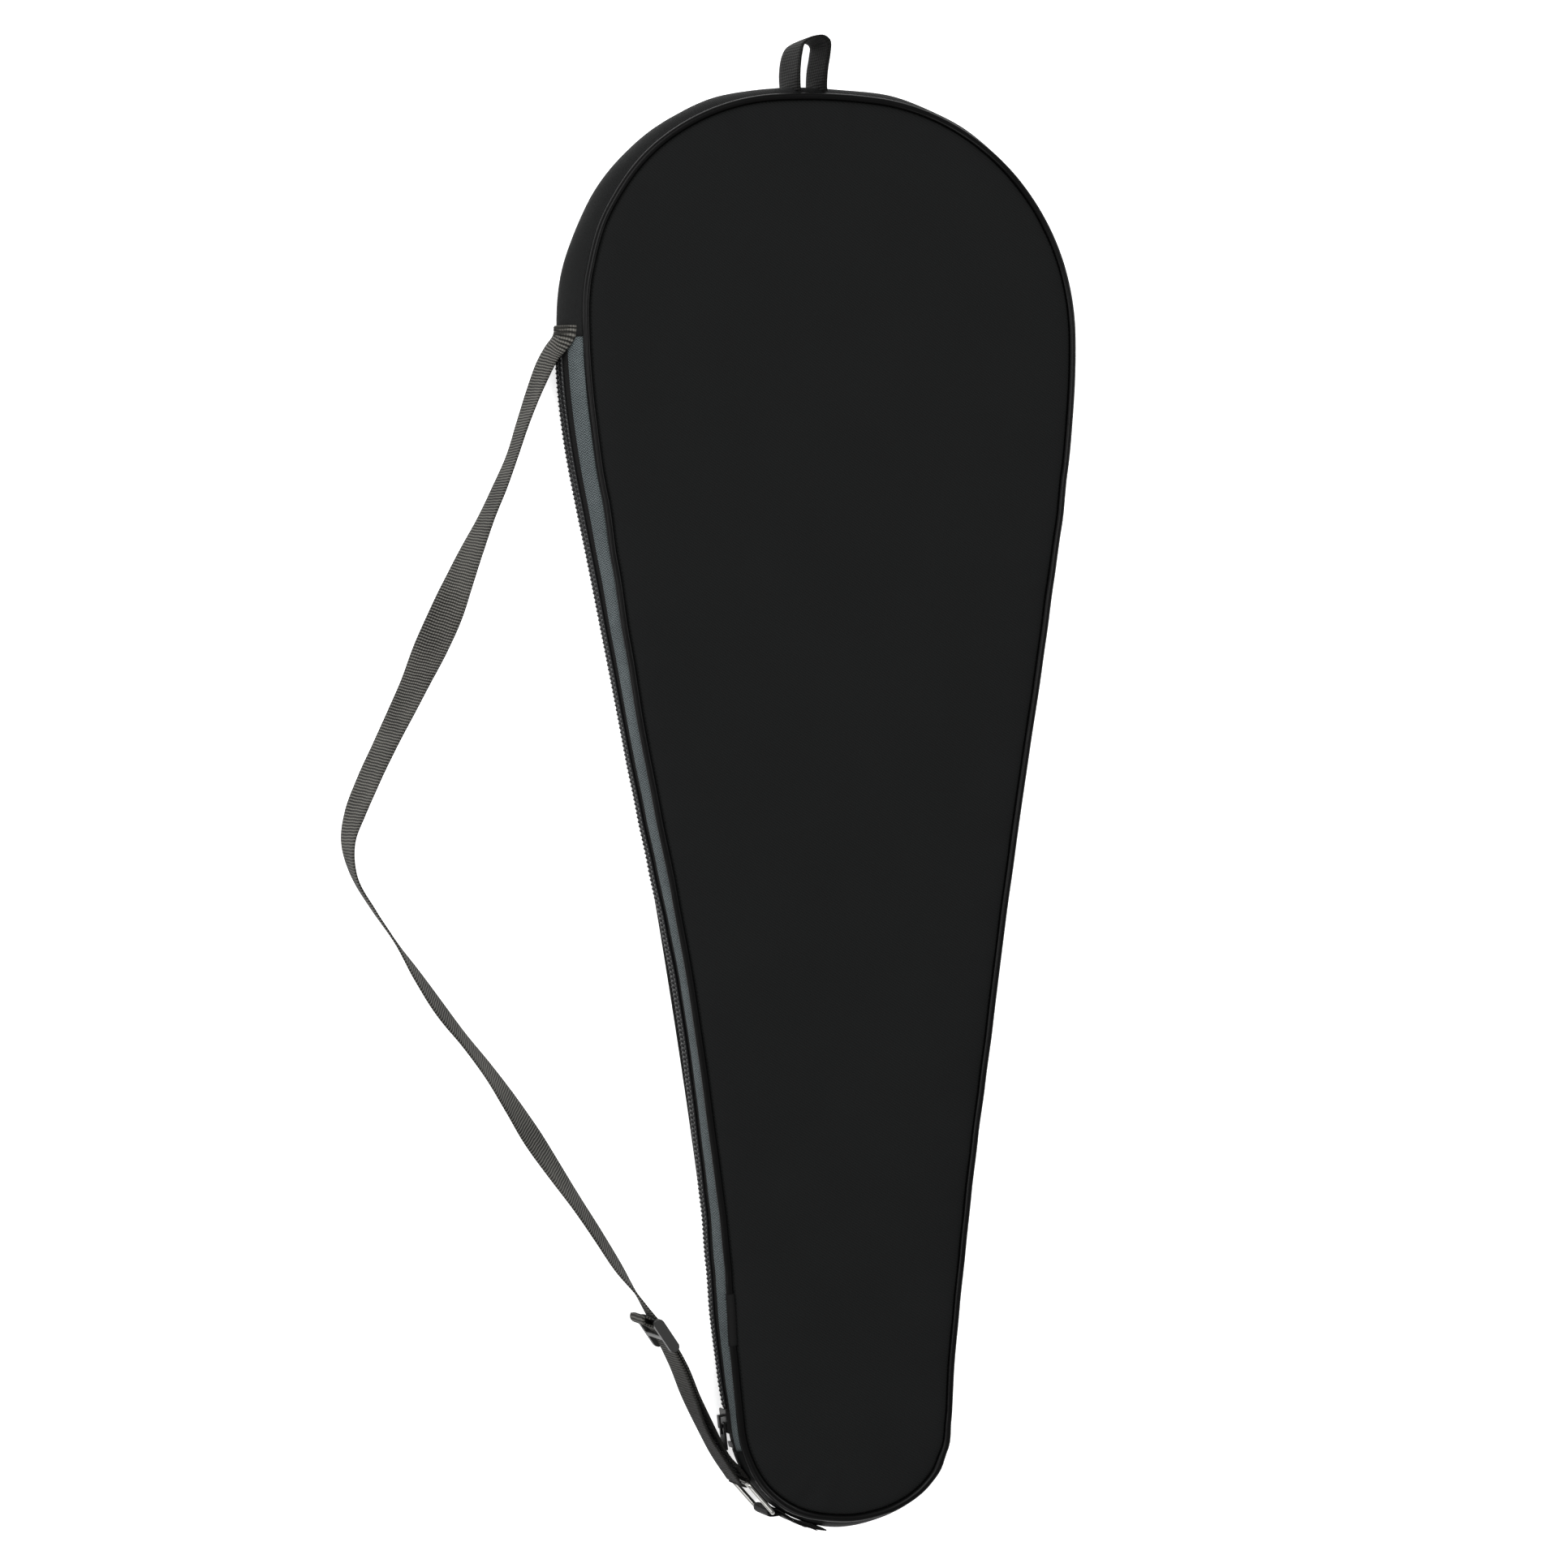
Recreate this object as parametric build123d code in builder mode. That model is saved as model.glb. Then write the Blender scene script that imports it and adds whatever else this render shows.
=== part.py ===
"""A soft zipped case for one racket, lying on its back panel.

The case is a long teardrop: a wide head that narrows along two slightly hollow sides to a
round foot. Two padded panels are joined by a bowed side wall, the gusset, and a rolled
piping covers each of the two seams. A coil zip takes the gusset's place along the left side.
A webbing strap runs from the head end of the zip, through an adjuster, to a ring at the foot.

Millimetres, +Z up through the case, +Y towards the hanging loop. The origin is on the back
panel's outer face, half way along the case.
"""

from build123d import *
import os
from math import asin, atan2, cos, degrees, hypot, radians, sin


# The case's outline, measured to the piping's outer edge
case_length = 720.0
head_width = 271.6
case_depth = 32.0
crown_radius = 310.0  # the nearly flat stretch over the top
crown_half_angle = 5.0
flank_radius = 390.0  # below the widest place, where the head turns into the side
side_lean = 11.8  # degrees that the side leans in where it starts to be hollow
foot_radius = 56.8  # the round foot

# Panels, from the outside in
cover_thickness = 1.0
foam_thickness = 4.0
lining_thickness = 0.6

# Piping and its joining sleeves
piping_diameter = 3.6
sleeve_wall = 0.4
sleeve_length = 26.0
sleeve_height = -254.0  # its middle along Y, on the zip side
panel_clearance = 0.15  # between a sleeve and the panel's edge

# Gusset
gusset_bulge = 6.2  # how far its outer face bows out beyond the seam at half depth
gusset_thickness = 0.8
gusset_lining_thickness = 0.5
layer_gap = 0.05
seam_gap = 0.15  # between the gusset's edge and the piping
binding_width = 3.0
binding_thickness = 0.9

# Zip
zip_top_drop = 4.3  # from the widest place to the zip's head end
zip_bottom_drop = 16.8  # from the round foot's middle to the zip's foot end
zip_set_back = 0.5  # how far the tape lies inside the gusset's outer face
tape_thickness = 0.8
coil_width = 2.6  # one of the two rows
coil_height = 1.3
chain_gap = 1.2  # between the two rows, for the slider's neck
stop_length = 3.0

# Slider and pull
slider_length = 12.0
slider_plate = 1.2
slider_clearance = 0.35
slider_above_end = 3.0  # from the lower end of the hollow side to the slider's middle
slider_flange = 1.0
neck_thickness = 0.5
neck_length = 3.0
bridge_width = 2.6
bridge_bar = 1.0
pull_pin_diameter = 1.2
pull_pin_drop = 1.4  # towards the foot from the slider's middle
pull_length = 13.0
pull_width = 6.4
pull_thickness = 1.2
pull_clearance = 0.3

# Webbing, its ring, tab and adjuster
webbing_width = 20.0
webbing_thickness = 1.2
webbing_height = 14.5  # of the webbing's middle line above the floor
webbing_clearance = 0.3
ring_wire = 2.5
ring_inner_length = 18.0
ring_side_gap = 1.5  # between the webbing's edge and the ring
ring_angle = 40.7  # degrees below -X, seen from the middle of the foot
tab_end_angle = 77.0
adjuster_length = 19.0
adjuster_bar = 2.6
adjuster_thickness = 1.8
sewn_end_length = 12.0
sewn_end_clear = 3.0  # above the zip's top, where the strap leaves the gusset
tack_width = 1.6
tack_thickness = 0.4
tack_length = 17.0

# Hanging loop
loop_middle = -8.0
loop_gap = 12.0
loop_rise = 27.0
loop_lean = 3.0
loop_webbing_width = 22.0
loop_corner_radius = 5.5

# The strap's way over the floor, along the face that it turns to the case: how far out from the
# seam's widest place, and how far below it
strap_steps = [
    (13.5, 18.3),
    (28.0, 56.3),
    (56.5, 120.3),
    (88.0, 185.3),
    (113.5, 236.3),
    (117.0, 254.3),
]
strap_straight_step = (109.0, 278.3)  # where the straight stretch to the adjuster starts
# The rest of its way, out from the side of the round foot and up from the foot's middle
strap_end_step = (32.0, 29.2)
strap_foot_step = (19.0, -6.3)
strap_radii = [15.0, 150.0, 200.0, 300.0, 400.0, 45.0, 30.0, 50.0, 100.0, 60.0]
adjuster_from_end = 17.0  # from the straight stretch's lower end to the adjuster's middle

# Worked out from the sizes above
piping_radius = piping_diameter / 2
seam_half_length = case_length / 2 - piping_radius
seam_half_width = head_width / 2 - piping_radius
seam_foot_radius = foot_radius - piping_radius
mid_height = case_depth / 2
sleeve_radius = piping_radius + sleeve_wall
panel_inset = sleeve_radius + panel_clearance
foam_height = case_depth - cover_thickness - foam_thickness
lining_height = foam_height - lining_thickness
gusset_edge = 2 * sleeve_radius + seam_gap

crown_angle = radians(crown_half_angle)
lean = radians(side_lean)
crown_y = seam_half_length - crown_radius
head_radius = (seam_half_width - crown_radius * sin(crown_angle)) / (1 - sin(crown_angle))
head_x = seam_half_width - head_radius
head_y = crown_y + (crown_radius - head_radius) * cos(crown_angle)
flank_x = seam_half_width - flank_radius
flank_end = Vector(flank_x + flank_radius * cos(lean), head_y - flank_radius * sin(lean))
foot_y = -seam_half_length + seam_foot_radius
zip_top = head_y - zip_top_drop
zip_bottom = foot_y - zip_bottom_drop
strap_points = [(-seam_half_width - out, head_y - down) for out, down in strap_steps]
strap_straight = [
    (-seam_half_width - strap_straight_step[0], head_y - strap_straight_step[1]),
    (-seam_foot_radius - strap_end_step[0], foot_y + strap_end_step[1]),
]
strap_foot_point = (-seam_foot_radius - strap_foot_step[0], foot_y + strap_foot_step[1])

# The hollow side's arc leaves the flank at its lean and meets the round foot at a tangent
across = flank_end.X * cos(lean) - (flank_end.Y - foot_y) * sin(lean)
reach = flank_end.X**2 + (flank_end.Y - foot_y) ** 2
hollow_radius = (reach - seam_foot_radius**2) / (2 * (seam_foot_radius - across))
hollow_x = flank_end.X + hollow_radius * cos(lean)
hollow_y = flank_end.Y - hollow_radius * sin(lean)
foot_lean = degrees(atan2(foot_y - hollow_y, hollow_x))


def half_outline(grow=0.0):
    """Draw the right half of the seam line, grown outwards, from the crown to the foot."""
    CenterArc((0, crown_y), crown_radius + grow, 90, -crown_half_angle)
    CenterArc((head_x, head_y), head_radius + grow, 90 - crown_half_angle, crown_half_angle - 90)
    CenterArc((flank_x, head_y), flank_radius + grow, 0, -side_lean)
    CenterArc((hollow_x, hollow_y), hollow_radius - grow, 180 - side_lean, side_lean - foot_lean)
    CenterArc((0, foot_y), seam_foot_radius + grow, -foot_lean, foot_lean - 90)


def outline(grow=0.0):
    """Draw the whole seam line, grown outwards."""
    half_outline(grow)
    mirror(about=Plane.YZ)


def zip_line(grow=0.0):
    """Draw the seam line's left side, from the widest place down to the round foot."""
    CenterArc((-flank_x, head_y), flank_radius + grow, 180, side_lean)
    CenterArc((-hollow_x, hollow_y), hollow_radius - grow, side_lean, foot_lean - side_lean)
    CenterArc((0, foot_y), seam_foot_radius + grow, 180 + foot_lean, 30)


def bowed_strip(inset, thickness):
    """Draw the section of a strip that bows outwards between the two seams."""
    outer, inner = (
        ThreePointArc(
            (-depth, gusset_edge),
            (gusset_bulge - depth, mid_height),
            (-depth, case_depth - gusset_edge),
        )
        for depth in (inset, inset + thickness)
    )
    Line(outer @ 0, inner @ 0)
    Line(outer @ 1, inner @ 1)


# Sections are drawn with x outwards and y up
crown_section = Plane((0, seam_half_length, 0), x_dir=(0, 1, 0), z_dir=(1, 0, 0))
zip_section = Plane((-seam_half_width, head_y, 0), x_dir=(-1, 0, 0), z_dir=(0, 1, 0))
zip_middle = (zip_top + zip_bottom) / 2
zip_length = zip_top - zip_bottom

pieces = []


def keep(label, piece):
    """Name a finished piece and put it in the list of pieces to write."""
    piece.part.label = label
    pieces.append(piece.part)


# Panels: cover, foam and lining at the front and the back
for side, cover_z, foam_z, lining_z in (
    ("front", case_depth - cover_thickness, foam_height, lining_height),
    ("back", 0.0, cover_thickness, cover_thickness + foam_thickness),
):
    for layer, bottom, thickness, inset in (
        ("panel", cover_z, cover_thickness, panel_inset),
        ("foam", foam_z, foam_thickness, panel_inset),
        ("lining", lining_z, lining_thickness, gusset_thickness + gusset_lining_thickness),
    ):
        with BuildPart() as panel_layer:
            with BuildSketch(Plane.XY.offset(bottom)):
                with BuildLine():
                    outline(-inset)
                make_face()
            extrude(amount=thickness)
        keep(f"{side}_{layer}", panel_layer)

# Piping: one rolled cord round each seam, with a sleeve over its join
for side, height in (("front", case_depth - sleeve_radius), ("back", sleeve_radius)):
    with BuildPart() as piping:
        with BuildLine() as piping_path:
            half_outline()
        with BuildSketch(crown_section):
            with Locations((0, height)):
                Circle(piping_radius)
        sweep(path=piping_path.wire())
        mirror(about=Plane.YZ)
    keep(f"{side}_piping", piping)

    sleeve_angle = degrees(asin((sleeve_height - hollow_y) / hollow_radius))
    sleeve_turn = degrees(sleeve_length / hollow_radius)
    with BuildPart() as sleeve:
        with BuildLine(Plane.XY.offset(height)) as sleeve_path:
            CenterArc((-hollow_x, hollow_y), hollow_radius, sleeve_angle - sleeve_turn / 2, sleeve_turn)
        start = sleeve_path.wire() @ 0
        with BuildSketch(Plane(start, z_dir=sleeve_path.wire() % 0)):
            Circle(sleeve_radius)
            Circle(piping_radius + layer_gap, mode=Mode.SUBTRACT)
        sweep(path=sleeve_path.wire())
    keep(f"{side}_piping_sleeve", sleeve)

# Binding tape sewn over the raw edges inside each seam
binding_inset = gusset_thickness + gusset_lining_thickness + layer_gap
for side, bottom in (
    ("front", lining_height - layer_gap - binding_thickness),
    ("back", case_depth - lining_height + layer_gap),
):
    with BuildPart() as binding:
        with BuildSketch(Plane.XY.offset(bottom)):
            with BuildLine():
                outline(-binding_inset)
            make_face()
            with BuildLine():
                outline(-binding_inset - binding_width)
            make_face(mode=Mode.SUBTRACT)
        extrude(amount=binding_thickness)
    keep(f"{side}_seam_binding", binding)

# Gusset: a bowed band all round, but for the stretch that the zip takes
for label, inset, thickness in (
    ("gusset_band", 0.0, gusset_thickness),
    ("gusset_lining", gusset_thickness + layer_gap, gusset_lining_thickness),
):
    with BuildPart() as band:
        with BuildLine() as band_path:
            half_outline()
        with BuildSketch(crown_section):
            with BuildLine():
                bowed_strip(inset, thickness)
            make_face()
        sweep(path=band_path.wire())
        mirror(about=Plane.YZ)
        with Locations((-head_width / 2, zip_middle, mid_height)):
            Box(head_width, zip_length, case_depth, mode=Mode.SUBTRACT)
    keep(label, band)

# Zip: two tapes, each with its row of coil along the middle of the side
tape_bulge = gusset_bulge - zip_set_back
row_middle = (chain_gap + coil_width) / 2
for side, way in (("front", 1), ("back", -1)):
    with BuildPart() as tape:
        with BuildLine() as tape_path:
            zip_line()
        with BuildSketch(zip_section):
            with BuildLine():
                bowed_strip(zip_set_back, tape_thickness)
            make_face()
            with Locations((0, mid_height + way * (chain_gap - case_depth) / 2)):
                Rectangle(4 * gusset_bulge, case_depth, mode=Mode.SUBTRACT)
        sweep(path=tape_path.wire())
        with Locations((-head_width / 2, zip_middle, mid_height)):
            Box(head_width, zip_length, case_depth, mode=Mode.INTERSECT)
    keep(f"zip_tape_{side}", tape)

    with BuildPart() as coil:
        with BuildLine() as coil_path:
            zip_line()
        with BuildSketch(zip_section):
            with Locations((tape_bulge + layer_gap + coil_height / 2, mid_height + way * row_middle)):
                Rectangle(coil_height, coil_width)
        sweep(path=coil_path.wire())
        coil_length = zip_top - stop_length - foot_y - slider_above_end
        with Locations((-head_width / 2, zip_top - stop_length - coil_length / 2, mid_height)):
            Box(head_width, coil_length, case_depth, mode=Mode.INTERSECT)
    keep(f"zip_coil_{side}", coil)

# Stops: a small block across both rows at each end of the chain
stop_half_width = chain_gap / 2 + coil_width
for label, stop_y in (
    ("zip_top_stop", zip_top - stop_length / 2),
    ("zip_bottom_stop", zip_bottom + stop_length / 2),
):
    with BuildPart() as stop:
        with BuildLine() as stop_path:
            zip_line()
        with BuildSketch(zip_section):
            with Locations((tape_bulge + layer_gap + coil_height / 2, mid_height)):
                Rectangle(coil_height, 2 * stop_half_width)
        sweep(path=stop_path.wire())
        with Locations((-head_width / 2, stop_y, mid_height)):
            Box(head_width, stop_length - 2 * layer_gap, case_depth, mode=Mode.INTERSECT)
    keep(label, stop)

# Slider: drawn from the side, with x outwards from the seam and y towards the foot
slider_angle = radians(foot_lean) + slider_above_end / hollow_radius
slider_way = Vector(cos(slider_angle), sin(slider_angle))
slider_place = Vector(-hollow_x, hollow_y) + slider_way * hollow_radius
slider_frame = Plane(
    (slider_place.X, slider_place.Y, mid_height),
    x_dir=(-slider_way.X, -slider_way.Y, 0),
    z_dir=(0, 0, 1),
)
chain_top = tape_bulge + layer_gap + coil_height
plate_bottom = chain_top + slider_clearance
plate_top = plate_bottom + slider_plate
slider_half_width = stop_half_width + slider_clearance + slider_flange
bow_radius = (tape_bulge**2 + (mid_height - gusset_edge) ** 2) / (2 * tape_bulge)
edge_drop = slider_half_width**2 / (2 * bow_radius)
inner_top = tape_bulge - tape_thickness - edge_drop - slider_clearance
pin_height = plate_top + pull_clearance + pull_pin_diameter / 2
bridge_top = pin_height + pull_pin_diameter / 2 + pull_clearance + bridge_bar
window_length = pull_pin_diameter + 2 * pull_clearance + 2 * abs(pull_pin_drop)
with BuildPart() as slider:
    with BuildSketch(slider_frame):
        with Locations(((plate_bottom + plate_top) / 2, 0)):
            Rectangle(slider_plate, slider_length)
    extrude(amount=slider_half_width, both=True)
    fillet(slider.edges().filter_by(Axis.Z), 0.4)
    for way in (1, -1):
        flange_z = way * (slider_half_width - slider_flange / 2)
        with BuildSketch(slider_frame.offset(flange_z)):
            flange_bottom = tape_bulge + slider_clearance
            with Locations(((flange_bottom + plate_bottom) / 2, 0)):
                Rectangle(plate_bottom - flange_bottom, slider_length * 0.8)
        extrude(amount=slider_flange / 2, both=True)
    with BuildSketch(slider_frame):
        with Locations(((inner_top + plate_bottom) / 2, slider_length / 4)):
            Rectangle(plate_bottom - inner_top, neck_length)
    extrude(amount=neck_thickness / 2, both=True)
    with BuildSketch(slider_frame):
        with Locations((inner_top - slider_plate / 2, 0)):
            Rectangle(slider_plate, slider_length * 0.7)
    extrude(amount=slider_half_width - slider_flange, both=True)
    with BuildSketch(slider_frame):
        with Locations(((plate_top + bridge_top) / 2, 0)):
            Rectangle(bridge_top - plate_top, window_length + 2 * bridge_bar)
        with Locations(((plate_top + bridge_top - bridge_bar) / 2, 0)):
            Rectangle(bridge_top - bridge_bar - plate_top, window_length, mode=Mode.SUBTRACT)
    extrude(amount=bridge_width / 2, both=True)
keep("zip_slider", slider)

# Pull: a pin through the slider's bridge, an arm each side of it and a grip plate
arm_inner = bridge_width / 2 + pull_clearance
arm_thickness = pull_width / 2 - arm_inner
bridge_reach = hypot(pull_pin_drop + window_length / 2 + bridge_bar, bridge_top - pin_height)
grip_start = pull_pin_drop + bridge_reach + pull_clearance  # clears the bridge all the way over
grip_end = pull_pin_drop + pull_length
with BuildPart() as pull:
    with BuildSketch(slider_frame):
        with Locations((pin_height, pull_pin_drop)):
            Circle(pull_pin_diameter / 2)
    extrude(amount=pull_width / 2, both=True)
    for way in (1, -1):
        with BuildSketch(slider_frame.offset(way * (arm_inner + arm_thickness / 2))):
            with Locations((pin_height, (pull_pin_drop + grip_start) / 2)):
                Rectangle(pull_thickness, grip_start - pull_pin_drop + 0.4)
            with Locations((pin_height, pull_pin_drop)):
                Circle(pull_thickness / 2)
        extrude(amount=arm_thickness / 2, both=True)
    with BuildSketch(slider_frame):
        with Locations((pin_height, (grip_start + grip_end) / 2)):
            Rectangle(pull_thickness, grip_end - grip_start)
    extrude(amount=pull_width / 2, both=True)
keep("zip_pull", pull)

# Foot ring: a wire bent to a rounded rectangle, standing along the gusset's round foot
gusset_reach = seam_foot_radius + gusset_bulge
ring_reach = gusset_reach + layer_gap + webbing_clearance + webbing_thickness + ring_wire / 2
ring_turn = radians(180 + ring_angle)
ring_out = Vector(cos(ring_turn), sin(ring_turn))
ring_along = Vector(-ring_out.Y, ring_out.X)
ring_middle = Vector(0, foot_y) + ring_out * ring_reach
ring_frame = Plane(
    (ring_middle.X, ring_middle.Y, webbing_height),
    x_dir=(ring_along.X, ring_along.Y, 0),
    z_dir=(ring_out.X, ring_out.Y, 0),
)
bar_spacing = ring_inner_length + ring_wire
ring_span = webbing_width + 2 * ring_side_gap + ring_wire
with BuildPart() as ring:
    with BuildSketch(ring_frame):
        RectangleRounded(bar_spacing, ring_span, ring_side_gap + 0.6 * ring_wire / 2)
    ring_path = ring.pending_faces[0].outer_wire()
    ring.pending_faces.clear()
    with BuildSketch(Plane(ring_path @ 0, z_dir=ring_path % 0)):
        Circle(ring_wire / 2)
    sweep(path=ring_path)
keep("strap_ring", ring)

# Tab: doubled webbing sewn to the gusset, with an eye round the ring's lower bar
eye_inner = ring_wire / 2 + webbing_clearance
eye_outer = eye_inner + webbing_thickness
lower_bar = ring_middle + ring_along * (bar_spacing / 2)
upper_bar = ring_middle - ring_along * (bar_spacing / 2)
tab_low = gusset_reach + layer_gap
tab_start = 180 + ring_angle + degrees(bar_spacing / 2 / ring_reach) + degrees(eye_inner / ring_reach)
tab_turn = 180 + tab_end_angle - tab_start
webbing_bottom = webbing_height - webbing_width / 2
with BuildPart() as tab:
    with BuildSketch(Plane.XY.offset(webbing_bottom)):
        with BuildLine():
            low = CenterArc((0, foot_y), tab_low, tab_start, tab_turn)
            high = CenterArc((0, foot_y), tab_low + 2 * webbing_thickness, tab_start, tab_turn)
            Line(low @ 0, high @ 0)
            Line(low @ 1, high @ 1)
        make_face()
        with Locations(lower_bar):
            Circle(eye_outer)
            Circle(eye_inner, mode=Mode.SUBTRACT)
    extrude(amount=webbing_width)
keep("ring_tab", tab)

# Strap: webbing on edge, sewn across the gusset at the head end of the zip, then out over the
# floor and back to an eye round the ring's upper bar
last_point = Vector(*strap_foot_point)
eye_way = (upper_bar - last_point).normalized()
eye_side = Vector(eye_way.Y, -eye_way.X)  # away from the case
eye_contact = upper_bar - eye_side * eye_outer
sewn_x = -seam_half_width - gusset_bulge - layer_gap
strap_line = [(sewn_x, zip_top + sewn_end_clear), *strap_points, *strap_straight, strap_foot_point]
with BuildPart() as strap:
    with BuildSketch(Plane.XY.offset(webbing_bottom)):
        with BuildLine():
            FilletPolyline(
                (sewn_x, zip_top + sewn_end_length),
                *strap_line,
                (eye_contact.X, eye_contact.Y),
                radius=strap_radii,
            )
            offset(amount=webbing_thickness, side=Side.RIGHT)
        make_face()
        with Locations(upper_bar):
            Circle(eye_outer)
            Circle(eye_inner, mode=Mode.SUBTRACT)
    extrude(amount=webbing_width)
keep("shoulder_strap", strap)

# The strap's end runs back from the ring, on the strap's outer side, to the adjuster
straight_start = Vector(*strap_straight[0])
straight_end = Vector(*strap_straight[1])
strap_way = (straight_end - straight_start).normalized()
strap_side = Vector(strap_way.Y, -strap_way.X)  # away from the case
layer_step = webbing_thickness + webbing_clearance
adjuster_middle = straight_end - strap_way * adjuster_from_end
return_start = upper_bar + eye_side * eye_inner + eye_way * -eye_outer
return_stop = adjuster_middle + strap_way * (adjuster_bar / 2 + webbing_clearance)
with BuildPart() as strap_return:
    with BuildSketch(Plane.XY.offset(webbing_bottom)):
        with BuildLine():
            FilletPolyline(
                (return_start.X, return_start.Y),
                last_point + (strap_side + eye_side).normalized() * layer_step,
                straight_end + strap_side * layer_step,
                return_stop + strap_side * layer_step,
                radius=strap_radii[:-3:-1],
            )
            offset(amount=webbing_thickness, side=Side.LEFT)
        make_face()
    extrude(amount=webbing_width)
keep("strap_return", strap_return)

# Adjuster: two rails past the webbing's edges, end bars on its case side, middle bar outside
adjuster_frame = Plane(
    (adjuster_middle.X, adjuster_middle.Y, webbing_height),
    x_dir=(strap_way.X, strap_way.Y, 0),
    z_dir=(0, 0, 1),
)
case_side = webbing_clearance
outer_side = -webbing_thickness - webbing_clearance
bar_height = webbing_width / 2 + webbing_clearance
rail_width = adjuster_bar
with BuildPart() as adjuster:
    for way in (1, -1):
        with BuildSketch(adjuster_frame.offset(way * (bar_height + rail_width / 2))):
            with Locations((0, (case_side + outer_side) / 2)):
                SlotOverall(adjuster_length, case_side - outer_side + 2 * adjuster_thickness)
        extrude(amount=rail_width / 2, both=True)
    with BuildSketch(adjuster_frame):
        with Locations((0, outer_side - adjuster_thickness / 2)):
            RectangleRounded(adjuster_bar, adjuster_thickness, 0.5)
        for way in (1, -1):
            end_bar = way * (adjuster_length / 2 - adjuster_bar)
            with Locations((end_bar, case_side + adjuster_thickness / 2)):
                RectangleRounded(adjuster_bar, adjuster_thickness, 0.5)
    extrude(amount=bar_height + rail_width / 2, both=True)
keep("strap_adjuster", adjuster)

# Hanging loop: a short webbing bent over and sewn to the gusset's top
loop_foot = seam_half_length + gusset_bulge + webbing_clearance
loop_top = loop_foot + loop_rise
loop_bottom = mid_height - loop_webbing_width / 2
with BuildPart() as loop:
    with BuildSketch(Plane.XY.offset(loop_bottom)):
        with BuildLine():
            FilletPolyline(
                (loop_middle - loop_gap / 2, loop_foot),
                (loop_middle - loop_gap / 2 + loop_lean, loop_top - webbing_thickness),
                (loop_middle + loop_gap / 2 + loop_lean, loop_top - webbing_thickness),
                (loop_middle + loop_gap / 2, loop_foot),
                radius=loop_corner_radius,
            )
            offset(amount=webbing_thickness, side=Side.LEFT)
        make_face()
    extrude(amount=loop_webbing_width)
keep("hanging_loop", loop)

# Bar tacks: dense stitching across the strap's sewn end and the tab's end
with BuildPart() as tacks:
    for tack_y in (zip_top + sewn_end_clear + 2 * tack_width, zip_top + sewn_end_length - tack_width):
        tack_x = sewn_x - webbing_thickness - layer_gap - tack_thickness / 2
        with Locations((tack_x, tack_y, webbing_height)):
            Box(tack_thickness, tack_width, tack_length)
    tack_reach = tab_low + 2 * webbing_thickness + layer_gap + tack_thickness / 2
    for tack_turn in (tab_end_angle - 3, tab_end_angle - 9):
        with Locations(Plane((0, foot_y, webbing_height)).location * Rotation(0, 0, 180 + tack_turn)):
            with Locations((tack_reach, 0, 0)):
                Box(tack_thickness, tack_width, tack_length)
keep("bar_tacks", tacks)

os.makedirs("parts", exist_ok=True)
for piece in pieces:
    export_step(piece, f"parts/{piece.label}.step")
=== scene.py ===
"""The looks of a padded racket case: woven panels, glossy piping, a coil zip and its webbing.

Lengths in the dataclasses are millimetres. A mesh is written in metres. +Z is up through the
case, +Y points to the hanging loop, and the zip is on the -X side.
"""

import logging
import math
from collections.abc import Callable, Sequence
from dataclasses import dataclass
from enum import Enum
from functools import lru_cache

import bmesh
import bpy
from mathutils import Matrix, Vector, noise


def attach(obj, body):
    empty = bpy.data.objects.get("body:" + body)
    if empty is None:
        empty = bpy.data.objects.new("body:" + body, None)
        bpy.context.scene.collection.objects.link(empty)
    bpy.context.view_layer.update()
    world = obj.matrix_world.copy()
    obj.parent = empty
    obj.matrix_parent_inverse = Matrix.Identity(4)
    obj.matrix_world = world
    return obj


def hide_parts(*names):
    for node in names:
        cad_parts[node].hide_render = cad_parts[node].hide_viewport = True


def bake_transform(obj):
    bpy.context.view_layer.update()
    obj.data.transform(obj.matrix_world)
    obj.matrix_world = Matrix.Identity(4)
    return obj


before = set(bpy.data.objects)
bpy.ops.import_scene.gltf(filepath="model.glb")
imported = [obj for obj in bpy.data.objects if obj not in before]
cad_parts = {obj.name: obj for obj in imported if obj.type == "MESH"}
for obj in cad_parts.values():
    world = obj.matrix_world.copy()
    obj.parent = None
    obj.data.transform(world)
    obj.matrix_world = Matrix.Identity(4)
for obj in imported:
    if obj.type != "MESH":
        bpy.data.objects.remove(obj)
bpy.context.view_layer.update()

log = logging.getLogger("racket_case")
MM = 0.001
TURN = 2 * math.pi
UP = Vector((0, 0, 1))


class Side(Enum):
    """The two faces of the case, and which way each faces."""

    FRONT = 1
    BACK = -1

    @property
    def label(self) -> str:
        """Its part of a piece's name."""
        return self.name.lower()


class Body(Enum):
    """The rigid bodies that soft pieces ride on."""

    CASE = "case"
    ADJUSTER = "strap_adjuster"


# ---------------------------------------------------------------- shader arithmetic


def operator(operation: str, swapped: bool = False) -> Callable[..., "Tap"]:
    """Make a method of Tap that adds one Math node.

    Args:
        operation: what the node works out.
        swapped: the other value comes first, as in a reflected form.

    Returns:
        The method.
    """

    def method(tap: "Tap", other: object = 0.0) -> "Tap":
        """Add the node."""
        first, second = (other, tap) if swapped else (tap, other)
        return tap.bench.node("ShaderNodeMath", {"operation": operation}, {0: first, 1: second})

    return method


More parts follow.
